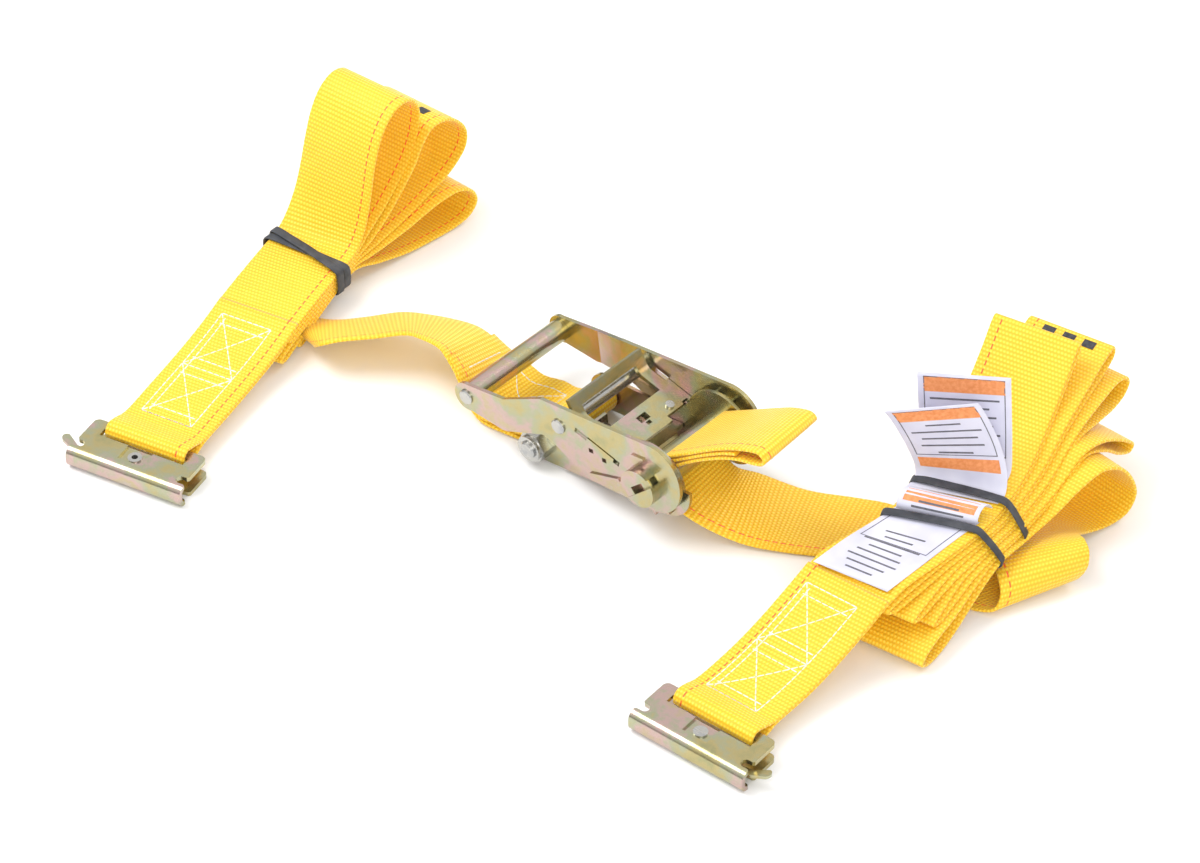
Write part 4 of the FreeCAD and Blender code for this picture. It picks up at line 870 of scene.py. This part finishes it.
def build_labels():
    """Four leaves sewn to the long strap: one flat, one curled and two that stand up."""
    width = 42.0
    tag("label_flat_cloth", "label_flat",
        [((173.5, -36.0, 37.2), (214.5, -29.0, 37.2)), ((175.0, -14.0, 38.1), (216.0, -6.0, 38.2)),
         ((177.6, 4.0, 39.0), (217.6, 18.0, 39.1)), ((180.0, 22.0, 40.2), (220.0, 39.0, 40.2))],
        width, [], rule_rows(6.0, 40.0, 8, (0.5, 0.7, 0.9, 0.8, 0.6, 1.0), width),
        [(3.0, 39.0, 31.0, 58.0)])
    tag("label_curled_cloth", "label_curled",
        [((180.4, 18.6, 41.0), (221.0, 36.6, 41.0)), ((179.6, 19.8, 44.4), (220.6, 37.8, 43.6)),
         ((179.0, 22.6, 47.6), (220.2, 40.4, 46.4)), ((178.8, 26.4, 48.8), (220.0, 44.2, 47.6)),
         ((179.4, 29.6, 47.4), (220.4, 47.4, 46.4)), ((180.2, 31.0, 44.6), (221.2, 48.8, 43.8))],
        width, [(2.5, 39.5, -13.5, -6.5)], rule_rows(2.5, 5.5, 2, (0.9, 0.7), width), [])
    wide = 47.0
    tag("label_standing_front_cloth", "label_standing_front",
        [((177.4, 36.0, 41.4), (216.4, 54.0, 41.4)), ((176.6, 42.6, 42.0), (215.8, 61.0, 42.2)),
         ((175.4, 44.6, 47.4), (213.6, 65.0, 49.4)), ((172.6, 41.0, 60.0), (209.0, 66.4, 64.0)),
         ((167.0, 29.6, 84.0), (202.4, 61.6, 88.0)), ((165.0, 25.6, 91.0), (200.4, 58.0, 95.6))],
        wide, [(3.0, 44.0, -11.0, -2.0), (3.0, 44.0, -47.0, -40.0)],
        rule_rows(-36.0, -15.0, 5, (0.5, 0.9, 0.8, 1.0), wide), [(3.0, 44.0, -38.0, -2.0)])
    tag("label_standing_rear_cloth", "label_standing_rear",
        [((172.6, 47.4, 43.4), (212.0, 66.6, 43.6)), ((171.4, 52.0, 46.0), (211.0, 72.6, 47.0)),
         ((169.4, 52.4, 58.0), (209.8, 75.4, 62.0)), ((166.6, 52.4, 76.0), (207.6, 77.6, 80.0)),
         ((164.4, 52.0, 92.0), (206.0, 79.0, 94.0)), ((163.6, 52.0, 99.6), (205.2, 79.4, 101.0))],
        wide, [(3.0, 44.0, -11.0, -2.0)], rule_rows(-46.0, -15.0, 7, (0.9, 0.7, 1.0, 0.8), wide),
        [(3.0, 44.0, -48.0, -2.0)])


# ---------------------------------------------------------------- springs


def build_spring(node, body):
    """Coil in its own object that stands for the CAD spring and moves with its body."""
    mesh = nodes[node].data.copy()
    mesh.materials.clear()
    mesh.materials.append(STEEL)
    coil = bpy.data.objects.new(node + "_coil", mesh)
    bpy.context.scene.collection.objects.link(coil)
    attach(coil, body)
    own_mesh(coil)
    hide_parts(node)


def build_springs():
    """Both pawl springs, each from its fixed end to the end that its pawl pushes."""
    build_spring("drive_pawl_spring", "handle")
    build_spring("lock_pawl_spring", ROOT)


# ---------------------------------------------------------------- studio

def build_floor():
    """Plain pale floor, just below the object."""
    s = Shader("floor_pale", Roughness=0.85)
    s.to("Base Color", s.ramp(s.noise(s.object_point(), 2.0, 2.0), [
        (0.3, (0.90, 0.90, 0.90)), (0.7, (0.93, 0.93, 0.93))]))
    mesh = bpy.data.meshes.new("floor")
    reach = 6.0
    corners = [(-reach, -reach, 0), (reach, -reach, 0), (reach, reach, 0), (-reach, reach, 0)]
    mesh.from_pydata(corners, [], [(0, 1, 2, 3)])
    floor = link("floor", mesh, s.material, smooth=False)
    floor.location.z = -0.0002


def area_light(name, place_at, size, power):
    """Square soft light that faces the object."""
    data = bpy.data.lights.new(name, "AREA")
    data.shape, data.size, data.energy = "SQUARE", size, power
    lamp = bpy.data.objects.new(name, data)
    bpy.context.scene.collection.objects.link(lamp)
    lamp.location = place_at
    lamp.rotation_mode = "QUATERNION"
    lamp.rotation_quaternion = (-Vector(place_at)).to_track_quat("-Z", "Y")


def build_studio():
    """Floor, three soft lights and the surround."""
    build_floor()
    area_light("key", (-0.9, -0.5, 1.6), 1.1, 22.0)
    area_light("fill", (1.5, -1.3, 1.1), 1.2, 17.0)
    area_light("back", (0.2, 1.8, 1.2), 1.0, 12.0)
    build_world()
    bpy.context.scene.view_settings.view_transform = "Standard"


def build_world():
    """Grey surround that is darker at the horizon, for the metal to reflect."""
    world = bpy.data.worlds.new("studio")
    bpy.context.scene.world = world
    world.use_nodes = True
    tree = world.node_tree
    background = tree.nodes["Background"]
    point = tree.nodes.new("ShaderNodeTexCoord")
    parts = tree.nodes.new("ShaderNodeSeparateXYZ")
    ramp = tree.nodes.new("ShaderNodeValToRGB")
    tree.links.new(point.outputs["Generated"], parts.inputs[0])
    tree.links.new(parts.outputs[2], ramp.inputs[0])
    stops = [(0.0, 0.55), (0.18, 0.30), (0.45, 0.85), (0.8, 1.0)]
    while len(ramp.color_ramp.elements) < len(stops):
        ramp.color_ramp.elements.new(0.5)
    for element, (at, grey) in zip(ramp.color_ramp.elements, stops):
        element.position, element.color = at, (grey, grey, grey, 1.0)
    tree.links.new(ramp.outputs[0], background.inputs[0])
    background.inputs[1].default_value = 1.0


def build_camera():
    """Long lens from the front right and above."""
    target = place((0, 0, 0))
    back = Vector((0.5016, -0.5670, 0.6534))
    distance = 2.3943
    data = bpy.data.cameras.new("camera")
    data.lens, data.sensor_width = 136.7, 36.0
    data.clip_start, data.clip_end = 0.05, 50.0
    camera = bpy.data.objects.new("camera", data)
    bpy.context.scene.collection.objects.link(camera)
    camera.location = target + back * distance
    camera.rotation_mode = "QUATERNION"
    camera.rotation_quaternion = (-back).to_track_quat("-Z", "Y")
    bpy.context.scene.camera = camera


finish_cad_nodes()
build_short_strap()
build_long_strap()
build_bands()
build_labels()
build_springs()
build_studio()
build_camera()
